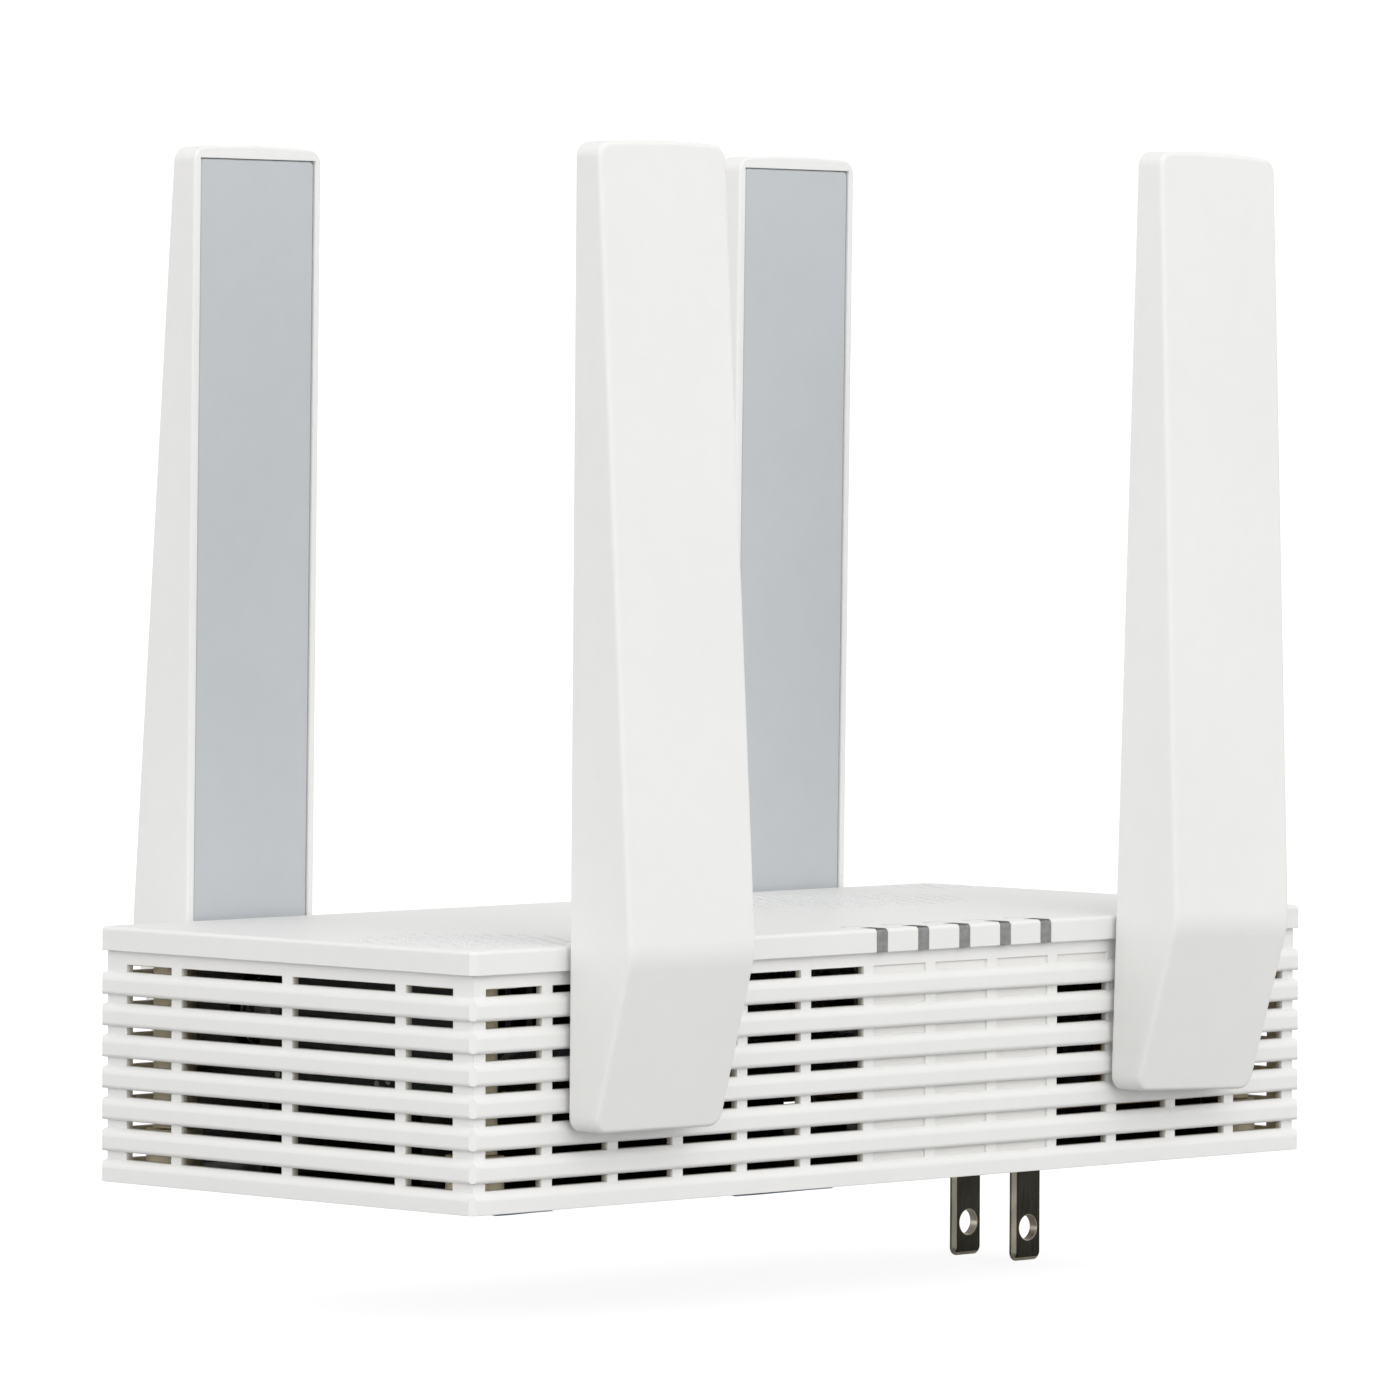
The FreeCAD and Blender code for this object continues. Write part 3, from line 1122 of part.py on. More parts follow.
def pairing_button():
    """Flanged push button in the back wall, its switch and the switch's plunger."""
    x = "dim.button_middle"
    z = "dim.button_level"
    body = new_body("pairing_button_body")
    section = new_sketch(body, "button_section", "XY_Plane")
    face = f"{SIDE} + dim.button_proud"
    inner = f"{SIDE} - dim.side_wall - 0.3"
    draw_outline(section, [
        ("0", face), ("dim.button_radius - 0.5", face),
        ("dim.button_radius", f"{face} - 0.5"), ("dim.button_radius", inner),
        ("dim.button_flange", inner), ("dim.button_flange", f"{inner} - 0.8"),
        ("1.4", f"{inner} - 0.8"), ("1.4", f"{inner} - 1.6"), ("0", f"{inner} - 1.6"),
    ])
    turned = body.newObject("PartDesign::Revolution", "button_turned")
    turned.Profile = section
    turned.ReferenceAxis = (section, ["V_Axis"])
    turned.Angle = 360
    doc.recompute()
    place(body, x, "0", z)
    keep(body, "pairing_button")

    tip = f"({inner} - 1.65)"
    plunger = cylinder("plunger_pin", "1.1", "1.6", (x, tip, z), FreeCAD.Vector(0, -1, 0))
    keep(plunger, "switch_plunger")
    housing = box("switch_block", ("6", "3.6", "6.6"),
                  (f"{x} - 3", f"{tip} - 1 - 3.6", MAIN_TOP))
    well = cylinder("switch_well", "1.25", "1.2 + dim.button_travel",
                    (x, f"{tip} - 0.9", z), FreeCAD.Vector(0, -1, 0))
    keep(cut("switch_housing", housing, well), "pairing_switch")


def write_parts():
    """Check every object and every sub-part, then write one STEP file per sub-part."""
    doc.recompute()
    for item in doc.Objects:
        if "Invalid" in item.State or "Error" in item.State:
            raise RuntimeError(f"{item.Label} failed: {item.State}")
    os.makedirs("parts", exist_ok=True)
    for subpart in SUBPARTS:
        shape = subpart.Shape
        if shape.isNull() or not shape.isValid() or not shape.Solids:
            raise RuntimeError(f"{subpart.Label} has no valid shape")
        shape.exportStep(f"parts/{subpart.Label}.step")


base_shell()
top_cover()
light_guides()
cover_screws()
labels()
plug()
for antenna in ANTENNAS:
    antenna_shell(*antenna)
    antenna_panel(*antenna)
    antenna_radiator(*antenna)
    antenna_hub(*antenna)
    antenna_ring(*antenna)
    antenna_coax(*antenna)
keep(group("friction_washers_group", [antenna_washer(*antenna) for antenna in ANTENNAS]),
     "friction_washers")
antenna_sockets()
main_board()
supply_board()
board_screws()
shield_can("radio_shield_left", "-80", "-16", "14", "30")
shield_can("radio_shield_right", "-46", "-20", "14", "30")
processor_stack()
chips()
transformer()
supply_parts()
supply_lead()
network_socket()
pairing_button()
write_parts()
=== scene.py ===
import math

import bmesh
import bpy
from mathutils import Matrix, Vector


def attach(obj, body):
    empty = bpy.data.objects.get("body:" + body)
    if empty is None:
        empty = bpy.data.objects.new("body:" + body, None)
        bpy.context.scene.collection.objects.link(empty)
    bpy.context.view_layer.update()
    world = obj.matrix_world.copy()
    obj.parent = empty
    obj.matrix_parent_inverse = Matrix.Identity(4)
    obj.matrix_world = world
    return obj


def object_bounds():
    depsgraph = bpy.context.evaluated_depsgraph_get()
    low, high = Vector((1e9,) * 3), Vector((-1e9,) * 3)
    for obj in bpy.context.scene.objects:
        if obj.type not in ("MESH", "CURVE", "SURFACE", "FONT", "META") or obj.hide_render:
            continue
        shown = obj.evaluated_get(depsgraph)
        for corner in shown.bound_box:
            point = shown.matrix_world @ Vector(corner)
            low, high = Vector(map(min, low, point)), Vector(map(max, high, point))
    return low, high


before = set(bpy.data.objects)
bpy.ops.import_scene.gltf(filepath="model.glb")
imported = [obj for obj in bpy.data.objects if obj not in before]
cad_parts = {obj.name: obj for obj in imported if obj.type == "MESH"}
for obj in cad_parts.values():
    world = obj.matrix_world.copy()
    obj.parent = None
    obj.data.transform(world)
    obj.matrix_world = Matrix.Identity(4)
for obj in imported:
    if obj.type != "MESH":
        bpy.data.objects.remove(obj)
cad_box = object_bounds()

MM = 0.001
LEFT = -149.0
RIGHT = 26.0
SIDE = 40.0
LID_TOP = 37.5
MIDDLE = (LEFT + RIGHT) / 2
HALF_LENGTH = (RIGHT - LEFT) / 2
ANTENNAS = ("front_left", "front_right", "back_left", "back_right")


# ---------------------------------------------------------------- camera, light, floor

CAMERA_TARGET = Vector((-0.0615, 0.0, 0.020))
CAMERA_AZIMUTH = math.radians(-44.825)
CAMERA_ELEVATION = math.radians(4.05)
CAMERA_PAN = math.radians(0.082)
CAMERA_TILT = math.radians(-1.874)
CAMERA_ROLL = math.radians(0.247)
CAMERA_DISTANCE = 1.5213
CAMERA_LENS = 260.5
SENSOR = 36.0


def backward(azimuth, elevation):
    """Unit vector from the object to a viewer; azimuth 0 looks along +Y."""
    return Vector((math.sin(azimuth) * math.cos(elevation),
                   -math.cos(azimuth) * math.cos(elevation), math.sin(elevation)))


def make_camera():
    """Long lens level with the box, near corner forward."""
    data = bpy.data.cameras.new("camera")
    data.sensor_width = SENSOR
    data.lens = CAMERA_LENS
    data.clip_start = 0.05
    data.clip_end = 200.0
    camera = bpy.data.objects.new("camera", data)
    bpy.context.scene.collection.objects.link(camera)
    away = backward(CAMERA_AZIMUTH + CAMERA_PAN, CAMERA_ELEVATION + CAMERA_TILT)
    level = (-away).cross(Vector((0, 0, 1))).normalized()
    upright = level.cross(-away).normalized()
    right = level * math.cos(CAMERA_ROLL) + upright * math.sin(CAMERA_ROLL)
    up = upright * math.cos(CAMERA_ROLL) - level * math.sin(CAMERA_ROLL)
    place = CAMERA_TARGET + backward(CAMERA_AZIMUTH, CAMERA_ELEVATION) * CAMERA_DISTANCE
    turn = Matrix((right, up, away)).transposed().to_4x4()
    camera.matrix_world = Matrix.Translation(place) @ turn
    bpy.context.scene.camera = camera


HORIZON_LIGHT = 1.42
ZENITH_LIGHT = 0.37
MIRRORED_LIGHT = 0.82
BACKDROP = 1.1
FLOOR_BOUNCE = 0.42
WARM_WHITE = (1.0, 0.996, 0.988)
SOFT_BOXES = (
    # name, direction from the target, distance, size, watts
    ("key_box", (-0.20, -0.80, 0.565), 1.7, 1.2, 6.6),
    ("left_box", (-0.95, -0.2, 0.25), 1.7, 1.2, 2.4),
)


def area_light(name, place, size, watts):
    """Square soft box that faces the object."""
    data = bpy.data.lights.new(name, "AREA")
    data.size = size
    data.energy = watts
    data.color = WARM_WHITE
    light = bpy.data.objects.new(name, data)
    bpy.context.scene.collection.objects.link(light)
    light.location = place
    light.rotation_euler = (CAMERA_TARGET - place).to_track_quat("-Z", "Y").to_euler()


def make_lights():
    """Soft boxes round the object."""
    for name, direction, distance, size, watts in SOFT_BOXES:
        area_light(name, CAMERA_TARGET + Vector(direction) * distance, size, watts)


def world_light(nodes, colour, strength):
    """Background node of one brightness."""
    light = nodes.new("ShaderNodeBackground")
    light.inputs["Color"].default_value = (*colour, 1)
    light.inputs["Strength"].default_value = strength
    return light


def room_brightness(nodes, links):
    """Brightness of the room by height: brightest near the horizon."""
    place = nodes.new("ShaderNodeTexCoord")
    split = nodes.new("ShaderNodeSeparateXYZ")
    height = nodes.new("ShaderNodeMath")
    height.operation = "POWER"
    height.inputs[1].default_value = 2.0
    fade = nodes.new("ShaderNodeMapRange")
    fade.inputs["To Min"].default_value = HORIZON_LIGHT
    fade.inputs["To Max"].default_value = ZENITH_LIGHT
    links.new(place.outputs["Generated"], split.inputs[0])
    links.new(split.outputs[2], height.inputs[0])
    links.new(height.outputs[0], fade.inputs["Value"])
    return fade.outputs[0]


def make_surroundings():
    """White backdrop for the camera, and a white room that lights the object."""
    world = bpy.data.worlds.new("surroundings")
    world.use_nodes = True
    nodes = world.node_tree.nodes
    links = world.node_tree.links
    paths = nodes.new("ShaderNodeLightPath")
    room = world_light(nodes, WARM_WHITE, 1.0)
    links.new(room_brightness(nodes, links), room.inputs["Strength"])
    mirrored = world_light(nodes, WARM_WHITE, MIRRORED_LIGHT)
    backdrop = world_light(nodes, (1, 1, 1), BACKDROP)
    first = nodes.new("ShaderNodeMixShader")
    second = nodes.new("ShaderNodeMixShader")
    links.new(paths.outputs["Is Glossy Ray"], first.inputs["Fac"])
    links.new(room.outputs["Background"], first.inputs[1])
    links.new(mirrored.outputs["Background"], first.inputs[2])
    links.new(paths.outputs["Is Camera Ray"], second.inputs["Fac"])
    links.new(first.outputs["Shader"], second.inputs[1])
    links.new(backdrop.outputs["Background"], second.inputs[2])
    links.new(second.outputs["Shader"], nodes["World Output"].inputs["Surface"])
    bpy.context.scene.world = world


def floor_material():
    """White paper that shows a soft shadow and throws little light back up."""
    material = bpy.data.materials.new("floor_paper")
    material.use_nodes = True
    nodes = material.node_tree.nodes
    links = material.node_tree.links
    paper = nodes["Principled BSDF"]
    paper.inputs["Base Color"].default_value = (0.30, 0.30, 0.30, 1)
    paper.inputs["Roughness"].default_value = 0.9
    paper.inputs["Specular IOR Level"].default_value = 0.0
    paper.inputs["Emission Color"].default_value = (1, 1, 1, 1)
    paper.inputs["Emission Strength"].default_value = 0.86
    unlit = nodes.new("ShaderNodeBsdfDiffuse")
    unlit.inputs["Color"].default_value = (FLOOR_BOUNCE, FLOOR_BOUNCE, FLOOR_BOUNCE, 1)
    paths = nodes.new("ShaderNodeLightPath")
    chooser = nodes.new("ShaderNodeMixShader")
    links.new(paths.outputs["Is Camera Ray"], chooser.inputs["Fac"])
    links.new(unlit.outputs["BSDF"], chooser.inputs[1])
    links.new(paper.outputs["BSDF"], chooser.inputs[2])
    links.new(chooser.outputs["Shader"], nodes["Material Output"].inputs["Surface"])
    return material


FLOOR_RADIUS = 40.0
FLOOR_GAP = 0.0004


def make_stage():
    """Pale floor just under the blades' tips."""
    mesh = bpy.data.meshes.new("floor")
    shape = bmesh.new()
    bmesh.ops.create_circle(shape, cap_ends=True, radius=FLOOR_RADIUS, segments=96)
    shape.to_mesh(mesh)
    shape.free()
    floor = bpy.data.objects.new("floor", mesh)
    floor.location = (0, 0, cad_box[0].z - FLOOR_GAP)
    bpy.context.scene.collection.objects.link(floor)
    mesh.materials.append(floor_material())


# ---------------------------------------------------------------- material helpers

class Look:
    """A Principled material whose nodes are wired by short calls.  Lengths are in metres."""

    def __init__(self, name, roughness=0.5, metallic=0.0, specular=0.5):
        self.material = bpy.data.materials.new(name)
        self.material.use_nodes = True
        self.tree = self.material.node_tree
        self.shader = self.tree.nodes["Principled BSDF"]
        self.shader.inputs["Roughness"].default_value = roughness
        self.shader.inputs["Metallic"].default_value = metallic
        self.shader.inputs["Specular IOR Level"].default_value = specular
        self.where = self.tree.nodes.new("ShaderNodeTexCoord").outputs["Object"]
        split = self.node("ShaderNodeSeparateXYZ", Vector=self.where)
        self.x, self.y, self.z = split.outputs[0], split.outputs[1], split.outputs[2]

    def put(self, socket, source):
        """Feed a socket from another socket or with a plain value."""
        if isinstance(source, bpy.types.NodeSocket):
            self.tree.links.new(source, socket)
        elif isinstance(source, tuple) and len(source) == 3 and socket.type == "RGBA":
            socket.default_value = (*source, 1)
        else:
            socket.default_value = source

    def node(self, kind, settings=None, **inputs):
        item = self.tree.nodes.new(kind)
        for key, setting in (settings or {}).items():
            setattr(item, key, setting)
        for key, source in inputs.items():
            self.put(item.inputs[key.replace("_", " ")], source)
        return item

    def math(self, operation, first, second=0.0):
        item = self.tree.nodes.new("ShaderNodeMath")
        item.operation = operation
        self.put(item.inputs[0], first)
        self.put(item.inputs[1], second)
        return item.outputs[0]

    def step(self, source, low, high, start=0.0, end=1.0):
        """Smooth change from start to end while source goes from low to high."""
        item = self.tree.nodes.new("ShaderNodeMapRange")
        item.interpolation_type = "SMOOTHSTEP"
        for index, source_value in enumerate((source, low, high, start, end)):
            self.put(item.inputs[index], source_value)
        return item.outputs[0]

    def span(self, source, ends, start=0.0, end=1.0):
        """The same between two ends in millimetres."""
        return self.step(source, ends[0] * MM, ends[1] * MM, start, end)

    def mix(self, factor, first, second):
        item = self.tree.nodes.new("ShaderNodeMix")
        item.data_type = "RGBA"
        self.put(item.inputs[0], factor)
        self.put(item.inputs[6], first)
        self.put(item.inputs[7], second)
        return item.outputs[2]

    def stretched(self, x, y, z):
        item = self.node("ShaderNodeMapping", Vector=self.where)
        item.inputs["Scale"].default_value = (x, y, z)
        return item.outputs[0]

    def noise(self, scale, detail=2.0, vector=None):
        return self.node("ShaderNodeTexNoise", Vector=vector or self.where, Scale=scale,
                         Detail=detail).outputs[0]

    def cells(self, scale):
        return self.node("ShaderNodeTexVoronoi", Vector=self.where, Scale=scale).outputs[0]

    def colour(self, source):
        self.put(self.shader.inputs["Base Color"], source)

    def roughness(self, source):
        self.put(self.shader.inputs["Roughness"], source)

    def relief(self, height, depth, edge=0.0):
        """Surface relief of a depth, over edges that look rounded by a radius."""
        bump = self.node("ShaderNodeBump", Height=height, Distance=depth, Strength=1.0)
        if edge:
            rounded = self.node("ShaderNodeBevel", {"samples": 6}, Radius=edge)
            self.put(bump.inputs["Normal"], rounded.outputs[0])
        self.put(self.shader.inputs["Normal"], bump.outputs[0])

    def normal_part(self, axis):
        """Size of the surface normal's part along an axis of the object."""
        normal = self.tree.nodes.new("ShaderNodeTexCoord").outputs["Normal"]
        split = self.node("ShaderNodeSeparateXYZ", Vector=normal)
        return self.math("ABSOLUTE", split.outputs[axis])


def moulded(name, colour, roughness, grain=0.00001, edge=0.0002, drift=0.02):
    """Injection-moulded plastic: spark-eroded grain, a slight drift in tone, rounded edges."""
    look = Look(name, roughness)
    tone = look.step(look.noise(22.0, 3.0), 0.3, 0.7)
    flow = look.step(look.noise(260.0, 2.0), 0.35, 0.65, 0.0, 0.35)
    drifting = look.math("ADD", tone, flow)
    darker = tuple(part * (1 - drift) for part in colour)
    lighter = tuple(min(part * (1 + drift * 0.5), 0.98) for part in colour)
    look.colour(look.mix(look.math("MULTIPLY", drifting, 0.75), darker, lighter))
    fine = look.noise(2600.0, 2.0)
    look.roughness(look.step(fine, 0.3, 0.7, roughness - 0.04, roughness + 0.05))
    look.relief(fine, grain, edge)
    return look


def base_colour(look):
    """Socket that feeds a look's base colour now."""
    return look.shader.inputs["Base Color"].links[0].from_socket


# ---------------------------------------------------------------- enclosure plastic

WHITE = (0.86, 0.86, 0.85)
# painted light and shade in the housing: warm light on the slot walls, shade behind them, light
# near the corner posts
SLOT_PAINTED_GLOW = (0.50, 0.45, 0.34)
INSIDE_PAINTED_SHADE = (0.018, 0.016, 0.013)
POST_PAINTED_LIGHT = (0.88, 0.79, 0.58)
# depths below the outer faces, in millimetres
SLOT_WALL = (1.15, 1.8)
WALL_BACK = (2.12, 2.3)
POST_FROM_END = (10.0, 12.0)
POST_FROM_SIDE = (12.0, 14.0)
SOCKET_SIDE = (34.0, 36.0)
LEVEL_BLEND = 0.0001


def housing_look(name, roughness, grain, lowest, highest):
    """White plastic with painted warm light on the slot walls and painted shade behind them
    between two heights; the painted shade turns to painted light near the corner posts.
    """
    look = moulded(name, WHITE, roughness, grain)
    from_end = look.math("SUBTRACT", HALF_LENGTH * MM,
                         look.math("ABSOLUTE", look.math("SUBTRACT", look.x, MIDDLE * MM)))
    from_side = look.math("SUBTRACT", SIDE * MM, look.math("ABSOLUTE", look.y))
    inset = look.math("MINIMUM", from_end, from_side)
    above = look.step(look.z, lowest - LEVEL_BLEND, lowest + LEVEL_BLEND)
    below = look.step(look.z, highest - LEVEL_BLEND, highest + LEVEL_BLEND, 1.0, 0.0)
    within = look.math("MULTIPLY", above, below)
    front = look.span(look.y, SOCKET_SIDE, 1.0, 0.0)
    # painted warm light on the slot walls, on all but the socket side
    painted_slot_glow = look.math("MULTIPLY", look.span(inset, SLOT_WALL), within)
    painted_slot_glow = look.math("MULTIPLY", painted_slot_glow, front)
    # painted shade behind the walls, lifted to painted light near the corner posts
    painted_inside_mask = look.math("MULTIPLY", look.span(inset, WALL_BACK), within)
    corner = look.math("MULTIPLY", look.span(from_end, POST_FROM_END, 1.0, 0.0),
                       look.span(from_side, POST_FROM_SIDE, 1.0, 0.0))
    inside = look.mix(corner, INSIDE_PAINTED_SHADE, POST_PAINTED_LIGHT)
    with_slot_glow = look.mix(look.math("MULTIPLY", painted_slot_glow, 0.8), base_colour(look), SLOT_PAINTED_GLOW)
    look.colour(look.mix(painted_inside_mask, with_slot_glow, inside))
    return look.material


def panel_look():
    """Cool grey panel with a fine matt texture."""
    return moulded("panel_grey", (0.545, 0.570, 0.591), 0.55, 0.000014, 0.00015, 0.03).material


def guide_look():
    """Smoky clear light guide with a brighter core and painted shade on its top faces."""
    look = Look("smoky_light_guide", 0.5, specular=0.1)
    swirl = look.step(look.noise(900.0, 2.0), 0.3, 0.7)
    core = look.mix(swirl, (0.240, 0.247, 0.245), (0.300, 0.307, 0.305))
    # painted shade: faces that look upwards are darker
    top = look.step(look.normal_part(2), 0.5, 0.95)
    look.colour(look.mix(top, core, (0.075, 0.078, 0.078)))
    look.roughness(look.step(look.noise(300.0), 0.3, 0.7, 0.46, 0.62))
    look.relief(look.noise(700.0), 0.000008, 0.00015)
    return look.material


# blade measures in millimetres, each a start and an end of a blend
BLADE_BEVEL = (2.56, 2.60)
BLADE_SIDE = (3.10, 3.14)
BLADE_TIP = (-17.3, -17.22)
BLADE_HOLE_RIM = (1.99, 2.07)
BLADE_HOLE_DEPTH = 12.7


def blade_look():
    """Nickel-plated brass: dark brushed faces; the paler bevels, sides, tip and hole rim are
    painted highlights.
    """
    look = Look("plated_blade", 0.34, metallic=1.0)
    lines = look.noise(1.0, 3.0, look.stretched(5200.0, 900.0, 260.0))
    smudge = look.step(look.noise(240.0, 3.0), 0.35, 0.7)
    plate = look.mix(look.step(lines, 0.3, 0.7), (0.040, 0.039, 0.030), (0.075, 0.073, 0.060))
    plate = look.mix(look.math("MULTIPLY", smudge, 0.4), plate, (0.095, 0.090, 0.072))
    across = look.math("ABSOLUTE", look.x)
    bevel = look.span(across, BLADE_BEVEL)
    side = look.span(across, BLADE_SIDE)
    tip = look.span(look.z, BLADE_TIP, 1.0, 0.0)
    drop = look.math("ADD", look.z, BLADE_HOLE_DEPTH * MM)
    radius = look.math("SQRT", look.math("ADD", look.math("MULTIPLY", look.x, look.x),
                                         look.math("MULTIPLY", drop, drop)))
    rim = look.span(radius, BLADE_HOLE_RIM, 1.0, 0.0)
    # painted highlights: the pale side, bevel, tip and rim colours stand in for light caught on
    # the plated metal
    side_painted_sheen = look.mix(smudge, (0.19, 0.175, 0.14), (0.30, 0.275, 0.23))
    tip_and_rim_painted_highlight = look.mix(smudge, (0.88, 0.79, 0.61), (0.96, 0.90, 0.76))
    bevel_painted_highlight = look.mix(smudge, (0.60, 0.55, 0.45), (0.80, 0.74, 0.62))
    edge = look.mix(bevel, plate, bevel_painted_highlight)
    edge = look.mix(look.math("MAXIMUM", tip, rim), edge, tip_and_rim_painted_highlight)
    look.colour(look.mix(side, edge, side_painted_sheen))
    look.roughness(look.step(lines, 0.25, 0.75, 0.28, 0.46))
    look.relief(lines, 0.000012, 0.00012)
    return look.material


# ---------------------------------------------------------------- other materials

def metal(name, colour, roughness, brushed=(1.0, 1.0, 1.0), tarnish=0.25):
    """Bare metal with fine drawn lines and a little tarnish."""
    look = Look(name, roughness, metallic=1.0)
    lines = look.noise(1.0, 3.0, look.stretched(*(1500.0 * part for part in brushed)))
    spots = look.step(look.noise(420.0, 3.0), 0.45, 0.75, 0.0, tarnish)
    dull = tuple(part * 0.55 for part in colour)
    look.colour(look.mix(spots, look.mix(look.step(lines, 0.3, 0.7), dull, colour), dull))
    look.roughness(look.step(lines, 0.25, 0.75, roughness - 0.08, roughness + 0.1))
    look.relief(lines, 0.00001, 0.0001)
    return look.material


def circuit_board(name, mask, copper):
    """Solder mask over tracks, with tinned pads."""
    look = Look(name, 0.35)
    tracks = look.node("ShaderNodeTexBrick", {"offset": 0.37, "squash": 1.7},
                       Vector=look.stretched(230.0, 410.0, 1.0), Scale=1.0, Mortar_Size=0.11,
                       Color1=(0.0, 0.0, 0.0), Color2=(0.0, 0.0, 0.0), Mortar=(1.0, 1.0, 1.0))
    pads = look.step(look.cells(330.0), 0.16, 0.2, 1.0, 0.0)
    coat = look.mix(look.step(look.noise(90.0), 0.3, 0.7), mask,
                    tuple(part * 1.3 for part in mask))
    traced = look.mix(look.math("MULTIPLY", tracks.outputs[0], 0.7), coat, copper)
    look.colour(look.mix(pads, traced, (0.62, 0.60, 0.54)))
    look.relief(look.math("ADD", tracks.outputs[0], pads), 0.00004, 0.0001)
    return look.material


def package(name, colour, roughness=0.55):
    """Moulded chip package: fine matt epoxy with a faint laser-dulled patch."""
    look = Look(name, roughness)
    grit = look.noise(3400.0, 3.0)
    patch = look.step(look.noise(120.0), 0.45, 0.6, 0.0, 0.5)
    light = tuple(part * 1.9 + 0.01 for part in colour)
    look.colour(look.mix(look.math("MULTIPLY", look.step(grit, 0.3, 0.7), patch), colour, light))
    look.roughness(look.step(grit, 0.3, 0.7, roughness - 0.08, roughness + 0.1))
    look.relief(grit, 0.00003, 0.0002)
    return look.material


def wound(name, colour, axis, pitch):
    """Turns of wire or tape side by side along an axis, darker between turns as painted shade."""
    look = Look(name, 0.4)
    turns = look.node("ShaderNodeTexWave", {"bands_direction": axis}, Vector=look.where,
                      Scale=math.pi / pitch / 20.0, Distortion=1.2, Detail=2.0)
    # painted shade in the gaps between turns
    dark = tuple(part * 0.45 for part in colour)
    look.colour(look.mix(look.step(turns.outputs[1], 0.1, 0.7), dark, colour))
    look.roughness(look.step(look.noise(500.0), 0.3, 0.7, 0.3, 0.5))
    look.relief(turns.outputs[1], 0.00012, 0.0001)
    return look.material


def lead_jacket():
    """Grey jacket with a faint extrusion line."""
    look = Look("lead_jacket", 0.5)
    line = look.noise(1.0, 2.0, look.stretched(300.0, 300.0, 2400.0))
    look.colour(look.mix(line, (0.20, 0.20, 0.20), (0.34, 0.34, 0.33)))
    look.roughness(look.step(line, 0.3, 0.7, 0.42, 0.6))
    look.relief(line, 0.00002)
    return look.material


def label_look():
    """Pale blue-grey film with a faint matt blotch."""
    look = Look("label_film", 0.38)
    blotch = look.step(look.noise(140.0, 3.0), 0.3, 0.7)
    look.colour(look.mix(blotch, (0.50, 0.60, 0.68), (0.60, 0.69, 0.76)))
    look.roughness(look.step(blotch, 0.0, 1.0, 0.3, 0.46))
    look.relief(look.noise(1400.0), 0.000006)
    return look.material


# the fuse: its axis, its middle, and blends out from them, in millimetres
FUSE_Y = -12.5
FUSE_X = 16.0
FUSE_WIRE = (0.2, 0.35)
FUSE_CAP = (2.7, 2.8)


def clear_glass():
    """Fuse tube with the wire's shadow inside."""
    look = Look("fuse_glass", 0.06, specular=0.7)
    from_axis = look.math("ABSOLUTE", look.math("SUBTRACT", look.y, FUSE_Y * MM))
    from_middle = look.math("ABSOLUTE", look.math("SUBTRACT", look.x, FUSE_X * MM))
    wire = look.span(from_axis, FUSE_WIRE, 1.0, 0.0)
    cap = look.span(from_middle, FUSE_CAP)
    look.colour(look.mix(look.math("MAXIMUM", wire, cap), (0.70, 0.74, 0.72),
                         (0.42, 0.41, 0.38)))
    look.roughness(look.step(look.noise(500.0), 0.3, 0.7, 0.04, 0.12))
    look.put(look.shader.inputs["Metallic"], cap)
    look.relief(look.noise(800.0), 0.000004)
    return look.material


def sleeve(name, colour, top):
    """Shrink sleeve round a metal can whose flat ends are bare."""
    look = Look(name, 0.32)
    end = look.step(look.normal_part(2), 0.8, 0.9)
    stripe = look.step(look.noise(1.0, 0.0, look.stretched(160.0, 160.0, 1.0)), 0.55, 0.58)
    sides = look.mix(look.math("MULTIPLY", stripe, 0.35), colour, (0.45, 0.46, 0.50))
    look.colour(look.mix(end, sides, top))
    look.roughness(look.step(look.noise(900.0), 0.3, 0.7, 0.25, 0.42))
    look.put(look.shader.inputs["Metallic"], end)
    look.relief(look.noise(600.0), 0.00002, 0.0002)
    return look.material


def soft_pad():
    """Putty-like thermal pad with a fine glass-fibre weave."""
    look = Look("thermal_putty", 0.7)
    weave = look.noise(1.0, 1.0, look.stretched(1800.0, 700.0, 700.0))
    look.colour(look.mix(weave, (0.26, 0.36, 0.46), (0.42, 0.52, 0.62)))
    look.roughness(look.step(weave, 0.3, 0.7, 0.6, 0.8))
    look.relief(weave, 0.00005)
    return look.material


def assign(node, material):
    """Give one CAD node a material."""
    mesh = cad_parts[node].data
    mesh.materials.clear()
    mesh.materials.append(material)


